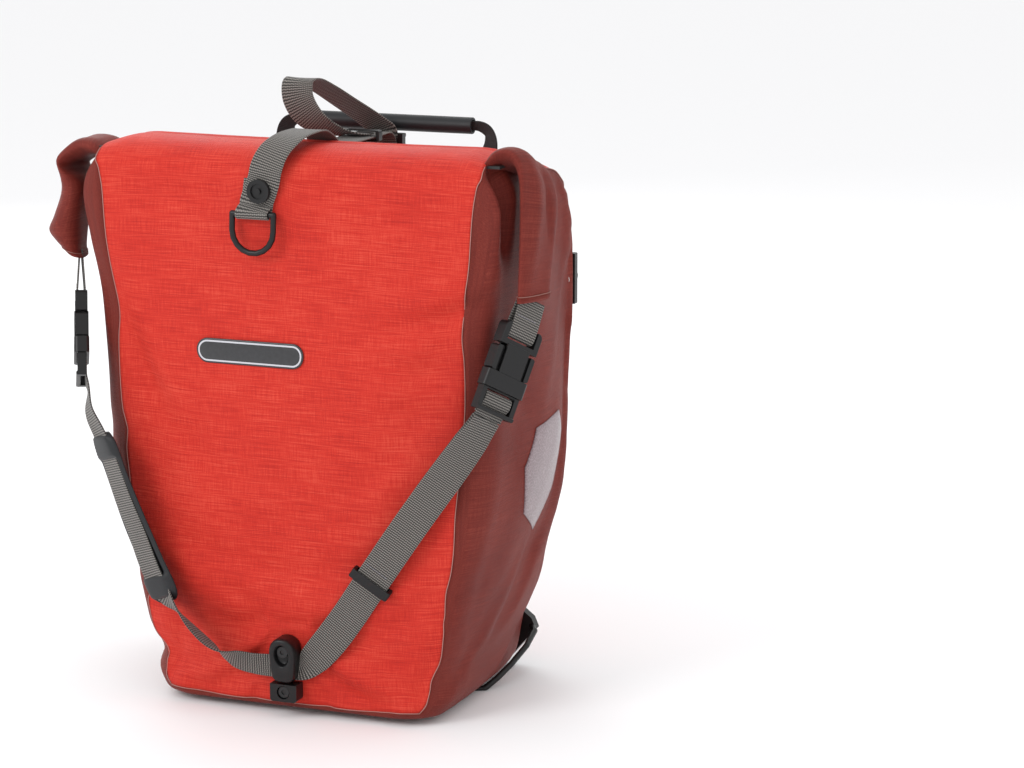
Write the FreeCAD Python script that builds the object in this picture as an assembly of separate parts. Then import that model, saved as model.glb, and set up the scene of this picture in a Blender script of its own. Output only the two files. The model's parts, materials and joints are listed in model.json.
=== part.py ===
"""Roll-top bicycle pannier: a welded fabric bag with a rigid back, rack hooks on a rail, and webbing straps.

Millimetres. +Z is up, +X is to the right for somebody facing the front of the bag, and +Y points to the back,
where the rack is. The origin is the middle of the base, on the surface that the bag stands on.
"""
import math
import os

import FreeCAD
import Part
from FreeCAD import Vector as V

os.makedirs("parts", exist_ok=True)

# ---- driving dimensions -------------------------------------------------------------------------
GAP = 0.3                  # clearance between neighbours that only touch
BACK_Y = 85.0              # outer face of the flat back panel
FRONT_Y = -85.0            # outer face of the front panel
FABRIC = 1.5               # thickness of the coated fabric
SHELL_TOP = 392.0          # height of the mouth, under the rolled closure
BASE_PLATE = 3.0           # thickness of the edge guard's foot plate
# height, half width, undercut of the front and back, and outward belly of the sides, at each cross section
SECTIONS = [(BASE_PLATE + GAP, 106.0, 7.0, 2.0), (14.0, 114.5, 0.0, 4.0), (60.0, 123.0, 0.0, 8.0),
            (120.0, 133.5, 0.0, 12.0), (200.0, 148.5, 0.0, 12.0), (290.0, 159.0, 0.0, 8.0),
            (SHELL_TOP, 163.0, 0.0, 4.0)]
FRONT_RADIUS = 28.0        # rounding of the two front corners
BACK_RADIUS = 10.0         # rounding of the two back corners
FRONT_SEAM_Y = FRONT_Y + 3.0
BACK_SEAM_Y = BACK_Y - 2.0
SEAM_Z = 14.0              # the front and back panels end this high above the base

ROLL_HALF = 160.0          # half length of the roll across the bag's top
WEBBING = 25.0             # width of the grey webbing
WEB_T = 1.3                # thickness of the webbing
ANCHOR_T = 1.5             # thickness of the black anchor strap

RAIL_Z = 304.0             # centre height of the mounting rail
RAIL_HALF = 158.0
RAIL_H = 38.0
RAIL_FACE_Y = 99.0
RAIL_SCREW_X = 149.0
RAIL_POCKET_PITCH = 8.0
HOOK_X = 68.0              # centre of each rack hook
HOOK_W = 26.0
TUBE_R = 8.0               # the rack tube that the hooks take
TUBE_Y = 112.5
TUBE_Z = 338.0
PAWL_PIN_Z = 353.0
PAWL_PIN_Y = 113.0
GRIP_Y = 104.0
GRIP_Z = 412.0
GRIP_HALF = 70.0
GRIP_R = 6.3

ARC_R = 165.0              # radius of the lower rail's slot
ARC_CENTRE_Z = 248.0
ARC_HALF_DEG = 29.0
ARC_BAND = 22.0
ARC_T = 6.0
SLOT_W = 6.0
SLOT_HALF_DEG = 25.0
ARC_SCREW = (81.0, 114.0)
CARRIAGE_DEG = 9.0         # where the lower hook stands along the slot, towards -X
FIN_LEAN_DEG = 23.0

RIVET = V(-16.0, 0, 384.5)  # the top strap's rivet on the front panel
D_RING_BAR_Z = 368.0
D_RING_X = -21.0

BUCKLE_BACK = V(0, 94.5, 364.0)
SIDE_BUCKLE_LOW = V(160.0, -92.0, 238.0)
SIDE_BUCKLE_DIR = V(-0.202, -0.405, -0.893)
SIDE_BUCKLE_FACE_DEG = 60.0
BUCKLE_MALE_END = 41.0     # from the buckle's own origin to the end of its ladder lock

SCREW_R = 2.5
HEAD_R = 6.0
HEAD_H = 3.0

# ---- small helpers ------------------------------------------------------------------------------
X, Y, Z = V(1, 0, 0), V(0, 1, 0), V(0, 0, 1)


def box(x0, x1, y0, y1, z0, z1):
    return Part.makeBox(x1 - x0, y1 - y0, z1 - z0, V(x0, y0, z0))


def rod(start, end, radius):
    """A round bar between two points."""
    along = end - start
    return Part.makeCylinder(radius, along.Length, start, along)


def bent_rod(points, radius):
    """Round bars along a chain of points, with a ball at each bend."""
    pieces = [rod(a, b, radius) for a, b in zip(points, points[1:])]
    pieces += [Part.makeSphere(radius, p) for p in points[1:-1]]
    return pieces[0].multiFuse(pieces[1:])


def fuse(*shapes):
    return shapes[0].multiFuse(list(shapes[1:])).removeSplitter()


def cut(shape, *tools):
    for tool in tools:
        shape = shape.cut(tool)
    return shape


def prism_xz(points, y0, y1):
    """A plate with an outline in X and Z, from y0 to y1."""
    wire = Part.makePolygon([V(x, y0, z) for x, z in points + points[:1]])
    return Part.Face(wire).extrude(V(0, y1 - y0, 0))


def prism_yz(points, x0, x1):
    """A bar with an outline in Y and Z, from x0 to x1."""
    wire = Part.makePolygon([V(x0, y, z) for y, z in points + points[:1]])
    return Part.Face(wire).extrude(V(x1 - x0, 0, 0))


def round_along(shape, axis, radius, pick=lambda c: True):
    """Rounds the straight edges that run along an axis and whose middle the pick function accepts."""
    chosen = []
    for edge in shape.Edges:
        if edge.Curve.TypeId != "Part::GeomLine":
            continue
        direction = edge.tangentAt(edge.FirstParameter)
        if abs(direction.dot(axis)) > 0.999 and pick(edge.CenterOfMass):
            chosen.append(edge)
    return shape.makeFillet(radius, chosen)


def mirrored(shape):
    return shape.mirror(V(0, 0, 0), X)


def path_normals(centres):
    """Normals, square to the path and to X, of webbing that runs in a plane of constant X."""
    last = len(centres) - 1
    steps = [centres[min(i + 1, last)] - centres[max(i - 1, 0)] for i in range(last + 1)]
    return [V(0, -step.z, step.y).normalize() for step in steps]


def ribbon(centres, normals, width, thickness):
    """Webbing along centre points, its face turned to the normal at each. Width is one number or a list."""
    last = len(centres) - 1
    widths = width if isinstance(width, list) else [width] * (last + 1)
    rings = []
    for i, (centre, normal) in enumerate(zip(centres, normals)):
        tangent = (centres[min(i + 1, last)] - centres[max(i - 1, 0)]).normalize()
        side = tangent.cross(normal).normalize()
        up = side.cross(tangent).normalize() * (thickness / 2)
        side = side * (widths[i] / 2)
        rings.append([centre + side + up, centre - side + up, centre - side - up, centre + side - up])
    faces = [Part.Face(Part.makePolygon(ring + ring[:1])) for ring in (rings[0], rings[-1])]
    for here, there in zip(rings, rings[1:]):
        for k in range(4):
            corners = [here[k], here[(k + 1) % 4], there[(k + 1) % 4], there[k]]
            if k == 2:          # the same diagonal on both faces, so that a twist keeps its thickness
                corners = corners[1:] + corners[:1]
            a, b, c, d = corners
            faces += [Part.Face(Part.makePolygon([a, b, c, a])), Part.Face(Part.makePolygon([a, c, d, a]))]
    shell = Part.makeShell(faces)
    shell.sewShape()
    solid = Part.makeSolid(shell)
    return solid if solid.Volume > 0 else solid.reversed()


def strip(path, width, thickness):
    """Webbing of constant width in X that follows (Y, Z) points, with mitred bends."""
    left, right = [], []
    for i, (y, z) in enumerate(path):
        before, after = path[max(i - 1, 0)], path[min(i + 1, len(path) - 1)]
        a = V(0, y - before[0], z - before[1]) if i else V(0, after[0] - y, after[1] - z)
        b = V(0, after[0] - y, after[1] - z) if i < len(path) - 1 else a
        a, b = V(a).normalize(), V(b).normalize()
        bisector = (a + b).normalize()
        reach = thickness / 2 / bisector.dot(a)
        left.append((y - bisector.z * reach, z + bisector.y * reach))
        right.append((y + bisector.z * reach, z - bisector.y * reach))
    return prism_yz(left + right[::-1], -width / 2, width / 2)


def facing(azimuth_deg):
    """A level direction, 0 facing the front and 90 facing +X."""
    a = math.radians(azimuth_deg)
    return V(math.sin(a), -math.cos(a), 0)


def save(shape, name):
    solids = shape.Solids
    if not shape.isValid() or not solids:
        raise ValueError(f"{name} is not a valid solid")
    Part.Compound(solids).exportStep(f"parts/{name}.step")


def cap_screw(centre, depth):
    """A button-head screw with its head on a face at centre, a hex socket, and its shank towards -Y."""
    head = Part.makeCylinder(HEAD_R, HEAD_H, centre, Y)
    head = head.makeFillet(1.6, [e for e in head.Edges if e.CenterOfMass.y > centre.y + HEAD_H - 0.1
                                 and e.Curve.TypeId == "Part::GeomCircle"])
    shank = Part.makeCylinder(SCREW_R, depth, centre - Y * depth, Y)
    hexagon = [V(centre.x + 2.3 * math.cos(math.radians(60 * k)), centre.y + HEAD_H - 1.8,
                 centre.z + 2.3 * math.sin(math.radians(60 * k))) for k in range(7)]
    socket = Part.Face(Part.makePolygon(hexagon)).extrude(Y * 3)
    return head.fuse(shank).cut(socket)


def clear_hole(centre, depth):
    return Part.makeCylinder(SCREW_R + 0.1, depth + 0.2, centre - Y * (depth + 0.1), Y)


# ---- the fabric bag -----------------------------------------------------------------------------
def section_wire(height, half, overhang, belly, inset):
    """A level cross section: flat back, bellied sides, big front corners. Inset moves the outline inwards."""
    a, back, front = half - inset, BACK_Y - inset - overhang, FRONT_Y + inset + overhang
    rf, rb = FRONT_RADIUS - inset, BACK_RADIUS - inset
    s = math.sqrt(0.5)

    def arc(cx, cy, r, start):
        pts = [V(cx + r * math.cos(start + k * math.pi / 4), cy + r * math.sin(start + k * math.pi / 4),
                 height)
               for k in range(3)]
        return Part.Arc(*pts).toShape(), pts[0], pts[2]

    corners = [arc(a - rf, front + rf, rf, -math.pi / 2), arc(a - rb, back - rb, rb, 0),
               arc(-a + rb, back - rb, rb, math.pi / 2), arc(-a + rf, front + rf, rf, math.pi)]
    edges = []
    for i, (edge, _, end) in enumerate(corners):
        start = corners[(i + 1) % 4][1]
        if i % 2 == 0:
            middle = (end + start) / 2 + V(belly if i == 0 else -belly, 0, 0)
            edges += [edge, Part.Arc(end, middle, start).toShape()]
        else:
            edges += [edge, Part.LineSegment(end, start).toShape()]
    return Part.Wire(edges)


def bag_solid(inset, low, high):
    """The bag's outside as one solid, inset by a wall's thickness, between two heights."""
    rows = [(max(z, low), a, o, b) for z, a, o, b in SECTIONS[:-1]] + [(high,) + SECTIONS[-1][1:]]
    return Part.makeLoft([section_wire(*row, inset) for row in rows], True, True)


def bag_shell():
    """The welded fabric tub, open at its mouth."""
    floor = SECTIONS[0][0]
    return bag_solid(0, floor, SHELL_TOP).cut(bag_solid(FABRIC, floor + FABRIC, SHELL_TOP + 0.5))


BIG = 400.0
shell = bag_shell()
rail_screw_points = [V(x, RAIL_FACE_Y, RAIL_Z) for x in (-RAIL_SCREW_X, 0.0, RAIL_SCREW_X)]
arc_screw_points = [V(s * ARC_SCREW[0], BACK_Y + GAP + ARC_T, ARC_SCREW[1]) for s in (-1, 1)]
GUARD_Y = BACK_Y + 8.0
guard_screw_points = [V(-98.0, GUARD_Y, 26.0), V(0.0, GUARD_Y, 22.0), V(98.0, GUARD_Y, 26.0)]
SHANK_END_Y = 76.5
all_back_screws = rail_screw_points + arc_screw_points + guard_screw_points
shank_holes = [clear_hole(p, p.y - SHANK_END_Y) for p in all_back_screws]

front_cutter = box(-BIG, BIG, -BIG, FRONT_SEAM_Y, SEAM_Z, BIG + SHELL_TOP)
back_cutter = box(-BIG, BIG, BACK_SEAM_Y, BIG, SEAM_Z, BIG + SHELL_TOP)
STRAP_HOOK_SCREWS = [V(0, FRONT_Y, 50.5), V(0, FRONT_Y, 20.0)]
front_holes = [rod(p - Y * 20, p + Y * 6, SCREW_R + 0.1) for p in STRAP_HOOK_SCREWS]
front_holes.append(rod(V(RIVET.x, -BIG / 4, RIVET.z), V(RIVET.x, FRONT_Y + 6, RIVET.z), 2.1))
save(cut(shell.common(front_cutter), *front_holes), "front_panel")
save(cut(shell.common(back_cutter), *shank_holes), "back_panel")
save(cut(shell, front_cutter, back_cutter), "side_gusset")

# stiff plate that carries the hardware, just inside the back panel
PLATE_Y = (79.8, 82.9)
plate = prism_xz([(-88, 16), (88, 16), (100, 26), (146, 280), (152, 330), (148, 372), (132, 384),
                  (-132, 384), (-148, 372), (-152, 330), (-146, 280), (-100, 26)], *PLATE_Y)
save(cut(plate, *shank_holes), "back_stiffener")

# the rolled closure: a cushion-like cap across the mouth, with a stiff strip inside the roll
roll_profile = [(-84.7, SHELL_TOP + GAP), (-84.7, 400), (-79, 411), (-67, 419), (-32, 420.5), (-18, 415),
                (-8, 405.5), (40, 405), (66, 401), (80, 395), (84.7, SHELL_TOP + GAP)]
roll = prism_yz(roll_profile, -ROLL_HALF, ROLL_HALF)
strip_slot = box(-ROLL_HALF, ROLL_HALF, -70.2, -29.8, 405.8, 408.2)
save(roll.cut(strip_slot), "roll_closure")
save(box(-ROLL_HALF + 2, ROLL_HALF - 2, -70, -30, 406, 408), "roll_stiffener")
wing_profile = [(ROLL_HALF + GAP, 393), (ROLL_HALF + GAP, 417.5), (170, 417), (182, 400), (189, 370),
                (185, 335), (182, 315), (172.5, 313), (170.5, 335), (169, 365), (168, 393)]
wing_side = [(-84, 418), (-84.5, 385), (-79, 350), (-73.5, 312), (-42.5, 312), (-36, 345), (-29, 380),
             (-26, 418)]
roll_end = prism_xz(wing_profile, -90.0, -20.0).common(prism_yz(wing_side, 150, 200))

# ---- side-release buckle, in its own frame ------------------------------------------------------
# local Z runs from the socket to the plug, local Y is the outer face


def buckle_socket():
    collar = round_along(box(-19, 19, -5.5, 5.5, 12, 24), Z, 3.0)
    plates = [box(-10.5, 10.5, 3.2, 5.2, -9, 12.5), box(-10.5, 10.5, -5.2, -3.2, -9, 12.5)]
    foot = round_along(box(-17.5, 17.5, -4.5, 4.5, -24, -8), Y, 4.0, lambda c: c.z < -20)
    body = fuse(collar, *plates, foot)
    cavity = box(-13.6, 13.6, -3.2, 3.2, -7, 30)
    slot = box(-13, 13, -6, 6, -16.5, -12)
    recess_front = box(-13, 13, 2.0, 6, -30, -12)
    recess_back = box(-13, 13, -6, -2.0, -30, -12)
    below_bar = box(-13, 13, -6, 6, -30, -20.5)
    return cut(body, cavity, slot, recess_front, recess_back, below_bar)


def buckle_plug():
    tongue = box(-5.5, 5.5, -2.4, 2.4, 2, 24.4)
    base = box(-17.5, 17.5, -3, 3, 24.2, 25.4)
    rails = [box(s * 15.5 - 2, s * 15.5 + 2, -3, 3, 25.2, BUCKLE_MALE_END) for s in (-1, 1)]
    middle_bar = box(-15, 15, -1.3, 1.3, 29, 34)
    end_bar = round_along(box(-17.5, 17.5, 0.6, 4.2, 38, BUCKLE_MALE_END), X, 1.2)
    return fuse(tongue, base, *rails, middle_bar, end_bar)


def buckle_prong(side):
    """One of the two arms that are squeezed to open the buckle. Side is +1 or -1 along local X."""
    arm = box(9.2, 12.8, -2.7, 2.7, 8, 23.8)
    inner = box(9.2, 14.2, -2.7, 2.7, -6, 11.6)
    outer = round_along(box(13.8, 17.8, -4.4, 4.4, -6, 11.6), Y, 1.8, lambda c: c.x > 16)
    prong = fuse(arm, inner, outer)
    return prong if side > 0 else mirrored(prong)


def placed(shape, origin, outward, along):
    """Moves a buckle piece from its own frame, given the outward face and the socket-to-plug direction."""
    z = V(along).normalize()
    y = (outward - z * outward.dot(z)).normalize()
    x = y.cross(z)
    matrix = FreeCAD.Matrix(x.x, y.x, z.x, origin.x, x.y, y.y, z.y, origin.y, x.z, y.z, z.z, origin.z, 0, 0,
                            0, 1)
    return shape.transformed(matrix)


side_dir = V(SIDE_BUCKLE_DIR).normalize()
side_origin = SIDE_BUCKLE_LOW - side_dir * BUCKLE_MALE_END
side_face = facing(SIDE_BUCKLE_FACE_DEG)
socket_shape, plug_shape = buckle_socket(), buckle_plug()
back_frame = (BUCKLE_BACK, Y, Z)
side_frame = (side_origin, side_face, side_dir)
save(placed(socket_shape, *back_frame), "rear_buckle_socket")
save(placed(plug_shape, *back_frame), "rear_buckle_plug")
for label, side in (("right", 1), ("left", -1)):
    prong = buckle_prong(side)
    save(placed(prong, *back_frame), f"rear_buckle_prong_{label}")
    on_side = placed(prong, *side_frame)
    edge = "rear" if side > 0 else "front"
    save(on_side, f"right_buckle_prong_{edge}")
    save(mirrored(on_side), f"left_buckle_prong_{edge}")
for name, shape in (("socket", socket_shape), ("plug", plug_shape)):
    on_side = placed(shape, *side_frame)
    save(on_side, f"right_buckle_{name}")
    save(mirrored(on_side), f"left_buckle_{name}")

# webbing tab from each end of the roll, round the bar of the side buckle's socket
TAB_TOP = -46.0
tab_path = [(-0.8, TAB_TOP), (-2.8, -26.0), (-3.0, -18.5), (-2.6, -15.9), (-1.3, -14.3), (1.3, -14.3),
            (2.6, -15.9), (3.0, -18.5), (2.8, -26.0), (0.8, TAB_TOP)]
tab = placed(strip(tab_path, WEBBING - 0.4, 1.2), *side_frame)
save(tab, "right_end_tab")
save(mirrored(tab), "left_end_tab")
tab_mouth = placed(box(-13.2, 13.2, -2.4, 2.4, TAB_TOP - 3, -20), *side_frame)
wing = roll_end.cut(tab_mouth)
save(wing, "roll_end_right")
save(mirrored(wing), "roll_end_left")

# ---- top strap ----------------------------------------------------------------------------------
by, bz = BUCKLE_BACK.y, BUCKLE_BACK.z
UNDER_Y, OVER_Y = FRONT_Y - 1.0, FRONT_Y - 2.5
BAR_Y = FRONT_Y - 4.6
BAR_LOOP = 3.5             # radius of the strap's turn round the D-ring's bar
bar_turn = [V(D_RING_X, BAR_Y + BAR_LOOP * math.cos(math.radians(a)),
              D_RING_BAR_Z - BAR_LOOP * math.sin(math.radians(a)))
            for a in range(0, 226, 45)]
plug_turn = [(0, -2.6, 34), (0, -2.6, 29), (0, -1.9, 27.3), (0, -0.1, 26.6), (0, 1.7, 27.3), (0, 2.4, 29),
             (0, 2.4, 33.5), (0, 1.1, 36), (0, -0.3, 38.5), (0, -0.3, 42)]
top_path = [V(RIVET.x - 0.5, UNDER_Y, 391.0), V(-19.5, UNDER_Y, 373.5)] + bar_turn
top_path += [V(-19.9, OVER_Y - 1.3, 373.3), V(-19.5, OVER_Y, 375.6), V(-13.5, OVER_Y, 391)]
top_path += [V(-11, -86.2, 402), V(-7, -80.5, 412.7), V(-2, -67.5, 420.9), V(0, -42, 422.3)]
top_path += [V(0, -32, 421.9), V(0, -17, 416.4), V(0, -6.5, 407.8), V(0, 20, 406.6), V(0, 45, 406.6)]
top_path += [V(0, 68, 406.6), V(0, 84, 406.3), V(0, 89.8, 402.5)]
top_path += [V(x, by + y, bz + z) for x, y, z in plug_turn]
top_path += [V(-3, 90.5, 411), V(-10, 83, 419), V(-20, 69, 430), V(-29, 53, 441.5), V(-34.5, 41, 448.5)]
top_path += [V(-37, 34, 450.5), V(-38.5, 28.5, 449.6), V(-38.5, 25.5, 445), V(-37, 24, 437), V(-32, 25, 427)]
top_path += [V(-24, 29, 418.5), V(-13, 36.5, 412.6), V(-4.2, 43.2, 410.3), V(-1, 50, 409.5)]
top_path += [V(-0.8, 57, 409.4)]
top_widths = [WEBBING] * (len(top_path) - 4) + [23.0, 20.5, 20.0, 20.0]
strap = ribbon(top_path, path_normals(top_path), top_widths, WEB_T)
rivet_hole = rod(V(RIVET.x, -100, RIVET.z), V(RIVET.x, -80, RIVET.z), 2.1)
save(strap.cut(rivet_hole), "top_strap")


def strap_slider(centre, along, outward):
    """A flat plastic ring that keeps two layers of webbing together."""
    outer = box(-16.4, 16.4, -4.2, 4.2, -3.5, 3.5)
    ring = round_along(outer, Z, 1.8).cut(box(-13.6, 13.6, -3.1, 3.1, -5, 5))
    return placed(ring, centre, outward, along)


save(strap_slider(V(-0.5, 53.8, 408.0), V(0, 1, -0.02), V(0, 0.02, 1)), "top_strap_slider")

# rivet and D-ring at the strap's front end
rivet_face = OVER_Y - WEB_T / 2 - 0.3
rivet = fuse(Part.makeCylinder(2.0, 12, V(RIVET.x, FRONT_Y + 5, RIVET.z), V(0, -1, 0)),
             Part.makeCylinder(8.5, 3.4, V(RIVET.x, rivet_face, RIVET.z), V(0, -1, 0)),
             Part.makeCylinder(6.0, 2.0, V(RIVET.x, FRONT_Y + 3, RIVET.z), Y))
dish = Part.makeCylinder(5.6, 1.4, V(RIVET.x, rivet_face - 2.0, RIVET.z), V(0, -1, 0))
save(rivet.cut(dish), "strap_rivet")
RING_R = 2.1
RING_HALF = 16.0
ring_y = BAR_Y - 0.8
ring_points = [V(D_RING_X - RING_HALF, BAR_Y, D_RING_BAR_Z)]
ring_points += [V(D_RING_X - RING_HALF, ring_y, D_RING_BAR_Z - 12)]
ring_points += [V(D_RING_X - RING_HALF * math.cos(math.radians(a)), ring_y,
                  D_RING_BAR_Z - 12 - RING_HALF * math.sin(math.radians(a))) for a in range(20, 161, 20)]
ring_points += [V(D_RING_X + RING_HALF, ring_y, D_RING_BAR_Z - 12)]
ring_points += [V(D_RING_X + RING_HALF, BAR_Y, D_RING_BAR_Z), ring_points[0]]
save(bent_rod(ring_points + ring_points[1:2], RING_R).removeSplitter(), "d_ring")

# ---- anchor strap of the rear buckle ------------------------------------------------------------
anchor_y = BACK_Y + GAP + ANCHOR_T / 2
anchor_path = [(anchor_y, 276.0), (anchor_y, 326.0), (88.6, 338.0), (91.2, 345.0), (91.9, 348.0),
               (93.3, 349.9),
               (95.7, 349.9), (97.2, 348.0), (97.4, 343.0), (94.0, 336.0), (88.6, 330.0), (87.6, 326.0)]
anchor = strip(anchor_path, WEBBING, 1.2)
save(anchor.cut(clear_hole(rail_screw_points[1], 20)), "anchor_strap")

# ---- mounting rail ------------------------------------------------------------------------------
half_h = RAIL_H / 2
rail_back = BACK_Y + GAP
rail_profile = [(rail_back, RAIL_Z - half_h), (rail_back + 7, RAIL_Z - half_h),
                (RAIL_FACE_Y, RAIL_Z - half_h + 7), (RAIL_FACE_Y, RAIL_Z + half_h - 7),
                (rail_back + 7, RAIL_Z + half_h), (rail_back, RAIL_Z + half_h)]
rail = prism_yz(rail_profile, -RAIL_HALF, RAIL_HALF)
NOTCH = 19.0
notches = [box(-NOTCH, NOTCH, 80, 110, RAIL_Z + half_h - 6, RAIL_Z + half_h + 5),
           box(-NOTCH, NOTCH, 80, 110, RAIL_Z - half_h - 5, RAIL_Z - half_h + 6)]
strap_channel = box(-14, 14, 80, BACK_Y + 2.4, 270, 340)
END_BEVEL = 9.0
bevels = []
for side in (-1, 1):
    tip = side * RAIL_HALF
    start = V(tip - side * END_BEVEL, RAIL_FACE_Y + 0.5, 0)
    outer = V(tip + side * 2, RAIL_FACE_Y + 0.5, 0)
    wedge = Part.makePolygon([start, outer, V(tip + side * 2, rail_back + 4, 0), start])
    bevels.append(Part.Face(wedge).extrude(V(0, 0, BIG)))
pockets = []
for side in (-1, 1):
    for k in range(12):
        x = side * (27.0 + k * RAIL_POCKET_PITCH)
        pocket = round_along(box(x - 2.6, x + 2.6, RAIL_FACE_Y - 1.6, RAIL_FACE_Y + 1, RAIL_Z - 7.5,
                                 RAIL_Z + 5.5), Y, 2.2)
        pockets.append(pocket)
windows = [round_along(box(side * 135 - 6, side * 135 + 6, 80, 110, RAIL_Z + 9.5, RAIL_Z + 12.5), Y, 1.2)
           for side in (-1, 1)]
rail = cut(rail, *notches, strap_channel, *bevels, *pockets, *windows, *shank_holes[:3])
CAP_X = 154.0
save(rail.common(box(-CAP_X, CAP_X, 0, 200, 0, BIG)), "mounting_rail")
caps = [rail.common(box(CAP_X + 0.1, BIG, 0, 200, 0, BIG)),
        rail.common(box(-BIG, -CAP_X - 0.1, 0, 200, 0, BIG))]
save(Part.Compound([s for c in caps for s in c.Solids]), "rail_end_caps")
save(Part.Compound([cap_screw(p, p.y - SHANK_END_Y) for p in rail_screw_points]), "rail_screws")


def flange_nut(p):
    """A flanged nut on the inner face of the stiffener."""
    flange = Part.makeCylinder(7.0, 1.2, V(p.x, PLATE_Y[0] - 0.1, p.z), V(0, -1, 0))
    barrel = Part.makeCylinder(4.5, 3.0, V(p.x, PLATE_Y[0] - 0.1, p.z), V(0, -1, 0))
    return flange.fuse(barrel).cut(clear_hole(p, p.y - SHANK_END_Y + 4))


save(Part.Compound([flange_nut(p) for p in all_back_screws]), "inner_nuts")

# ---- rack hooks ---------------------------------------------------------------------------------
SPINE_Y = (RAIL_FACE_Y + GAP, 104.3)
JAW_OUT = TUBE_Y + TUBE_R + 4.5
ROOF_TOP = 359.0
LEVER_SLOT = 6.2           # half width of the slot that the pawl moves in
HOOK_LOW = 287.0


def hook_body(x):
    """An inverted J over the rack tube, with a claw over the rail's top edge and two cheeks for the pawl."""
    h = HOOK_W / 2
    outline = [(SPINE_Y[0], HOOK_LOW), (SPINE_Y[1], HOOK_LOW), (SPINE_Y[1], TUBE_Z)]
    outline += [(TUBE_Y, TUBE_Z), (TUBE_Y + TUBE_R, TUBE_Z), (TUBE_Y + TUBE_R, 317.0),
                (TUBE_Y + TUBE_R + 1.5, 314.0),
                (JAW_OUT - 1.0, 314.5), (JAW_OUT, 320.0), (JAW_OUT, TUBE_Z + 6),
                (JAW_OUT - 3.0, ROOF_TOP - 6),
                (JAW_OUT - 7.0, ROOF_TOP), (SPINE_Y[0] + 4.0, ROOF_TOP), (SPINE_Y[0], ROOF_TOP - 4)]
    body = prism_yz(outline, x - h, x + h)
    throat = rod(V(x - h - 1, TUBE_Y, TUBE_Z), V(x + h + 1, TUBE_Y, TUBE_Z), TUBE_R)
    claw = box(x - h, x + h, 90.0, SPINE_Y[0] + 1, RAIL_Z + half_h + 0.4, RAIL_Z + half_h + 4.5)
    lever_slot = box(x - LEVER_SLOT, x + LEVER_SLOT, 80, PAWL_PIN_Y + 4.8, 349.6, ROOF_TOP + 5)
    arm_slot = box(x - LEVER_SLOT, x + LEVER_SLOT, 80, SPINE_Y[1] + 5.0, RAIL_Z + half_h + 1.2, 352)
    pin_hole = rod(V(x - h - 1, PAWL_PIN_Y, PAWL_PIN_Z), V(x + h + 1, PAWL_PIN_Y, PAWL_PIN_Z), 1.6)
    lug_hole = rod(V(x - h - 1, 108.0, 308.0), V(x + h + 1, 108.0, 308.0), 1.6)
    lugs = [box(x + s * (h - 1.7) - 1.7, x + s * (h - 1.7) + 1.7, SPINE_Y[1] - 1, 111.0, 303.5,
                312.5) for s in (-1, 1)]
    return cut(fuse(body, claw, *lugs), throat, lever_slot, arm_slot, pin_hole, lug_hole)


def hook_pawl(x):
    """The rocker on the pin: its nose closes the throat, its top plate is pulled by the handle."""
    w = LEVER_SLOT - 0.4
    hub = rod(V(x - w, PAWL_PIN_Y, PAWL_PIN_Z), V(x + w, PAWL_PIN_Y, PAWL_PIN_Z), 2.4)
    arm = prism_yz([(100.3, 325.4), (104.2, 325.4), (104.2, 350.0), (PAWL_PIN_Y, 350.9), (PAWL_PIN_Y, 355.2),
                    (107, 357.0), (100.3, 357.0)], x - w, x + w)
    nose = prism_yz([(104.0, 325.4), (114.5, 325.4), (115.5, 327.0), (113.0, 329.4), (104.0, 329.8)], x - w,
                    x + w)
    neck = box(x - w, x + w, 101, 107, 356, 361)
    top = round_along(box(x - 13, x + 13, 100.3, 112.0, ROOF_TOP + 0.8, ROOF_TOP + 3.6), Y, 1.2)
    hole = rod(V(x - 20, PAWL_PIN_Y, PAWL_PIN_Z), V(x + 20, PAWL_PIN_Y, PAWL_PIN_Z), 1.57)
    return cut(fuse(hub, arm, nose, neck, top), hole)


def hook_pin(x):
    h = HOOK_W / 2 + 0.5
    shaft = rod(V(x - h, PAWL_PIN_Y, PAWL_PIN_Z), V(x + h, PAWL_PIN_Y, PAWL_PIN_Z), 1.5)
    heads = [rod(V(x + s * h, PAWL_PIN_Y, PAWL_PIN_Z), V(x + s * (h + 0.8), PAWL_PIN_Y, PAWL_PIN_Z),
                 2.6) for s in (-1, 1)]
    return fuse(shaft, *heads)


def hook_lock(x):
    """The clip that closes under the rail's lower edge and clamps the hook where it stands."""
    w = HOOK_W / 2 - 3.8
    face = prism_yz([(SPINE_Y[1] + 0.6, 308.0), (SPINE_Y[1] + 0.6, 284.5), (90.5, 284.2), (90.5, 280.5),
                     (100, 279.0),
                     (107.5, 279.5), (111.0, 286.0), (111.0, 309.0), (109.5, 311.0), (107.5, 311.0)], x - w,
                     x + w)
    trunnion = rod(V(x - w - 3.0, 108.0, 308.0), V(x + w + 3.0, 108.0, 308.0), 1.5)
    return fuse(face, trunnion)


for label, side in (("right", 1), ("left", -1)):
    save(hook_body(side * HOOK_X), f"hook_body_{label}")
    save(hook_pawl(side * HOOK_X), f"hook_pawl_{label}")
    save(hook_pin(side * HOOK_X), f"hook_pin_{label}")
    save(hook_lock(side * HOOK_X), f"hook_lock_{label}")

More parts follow.
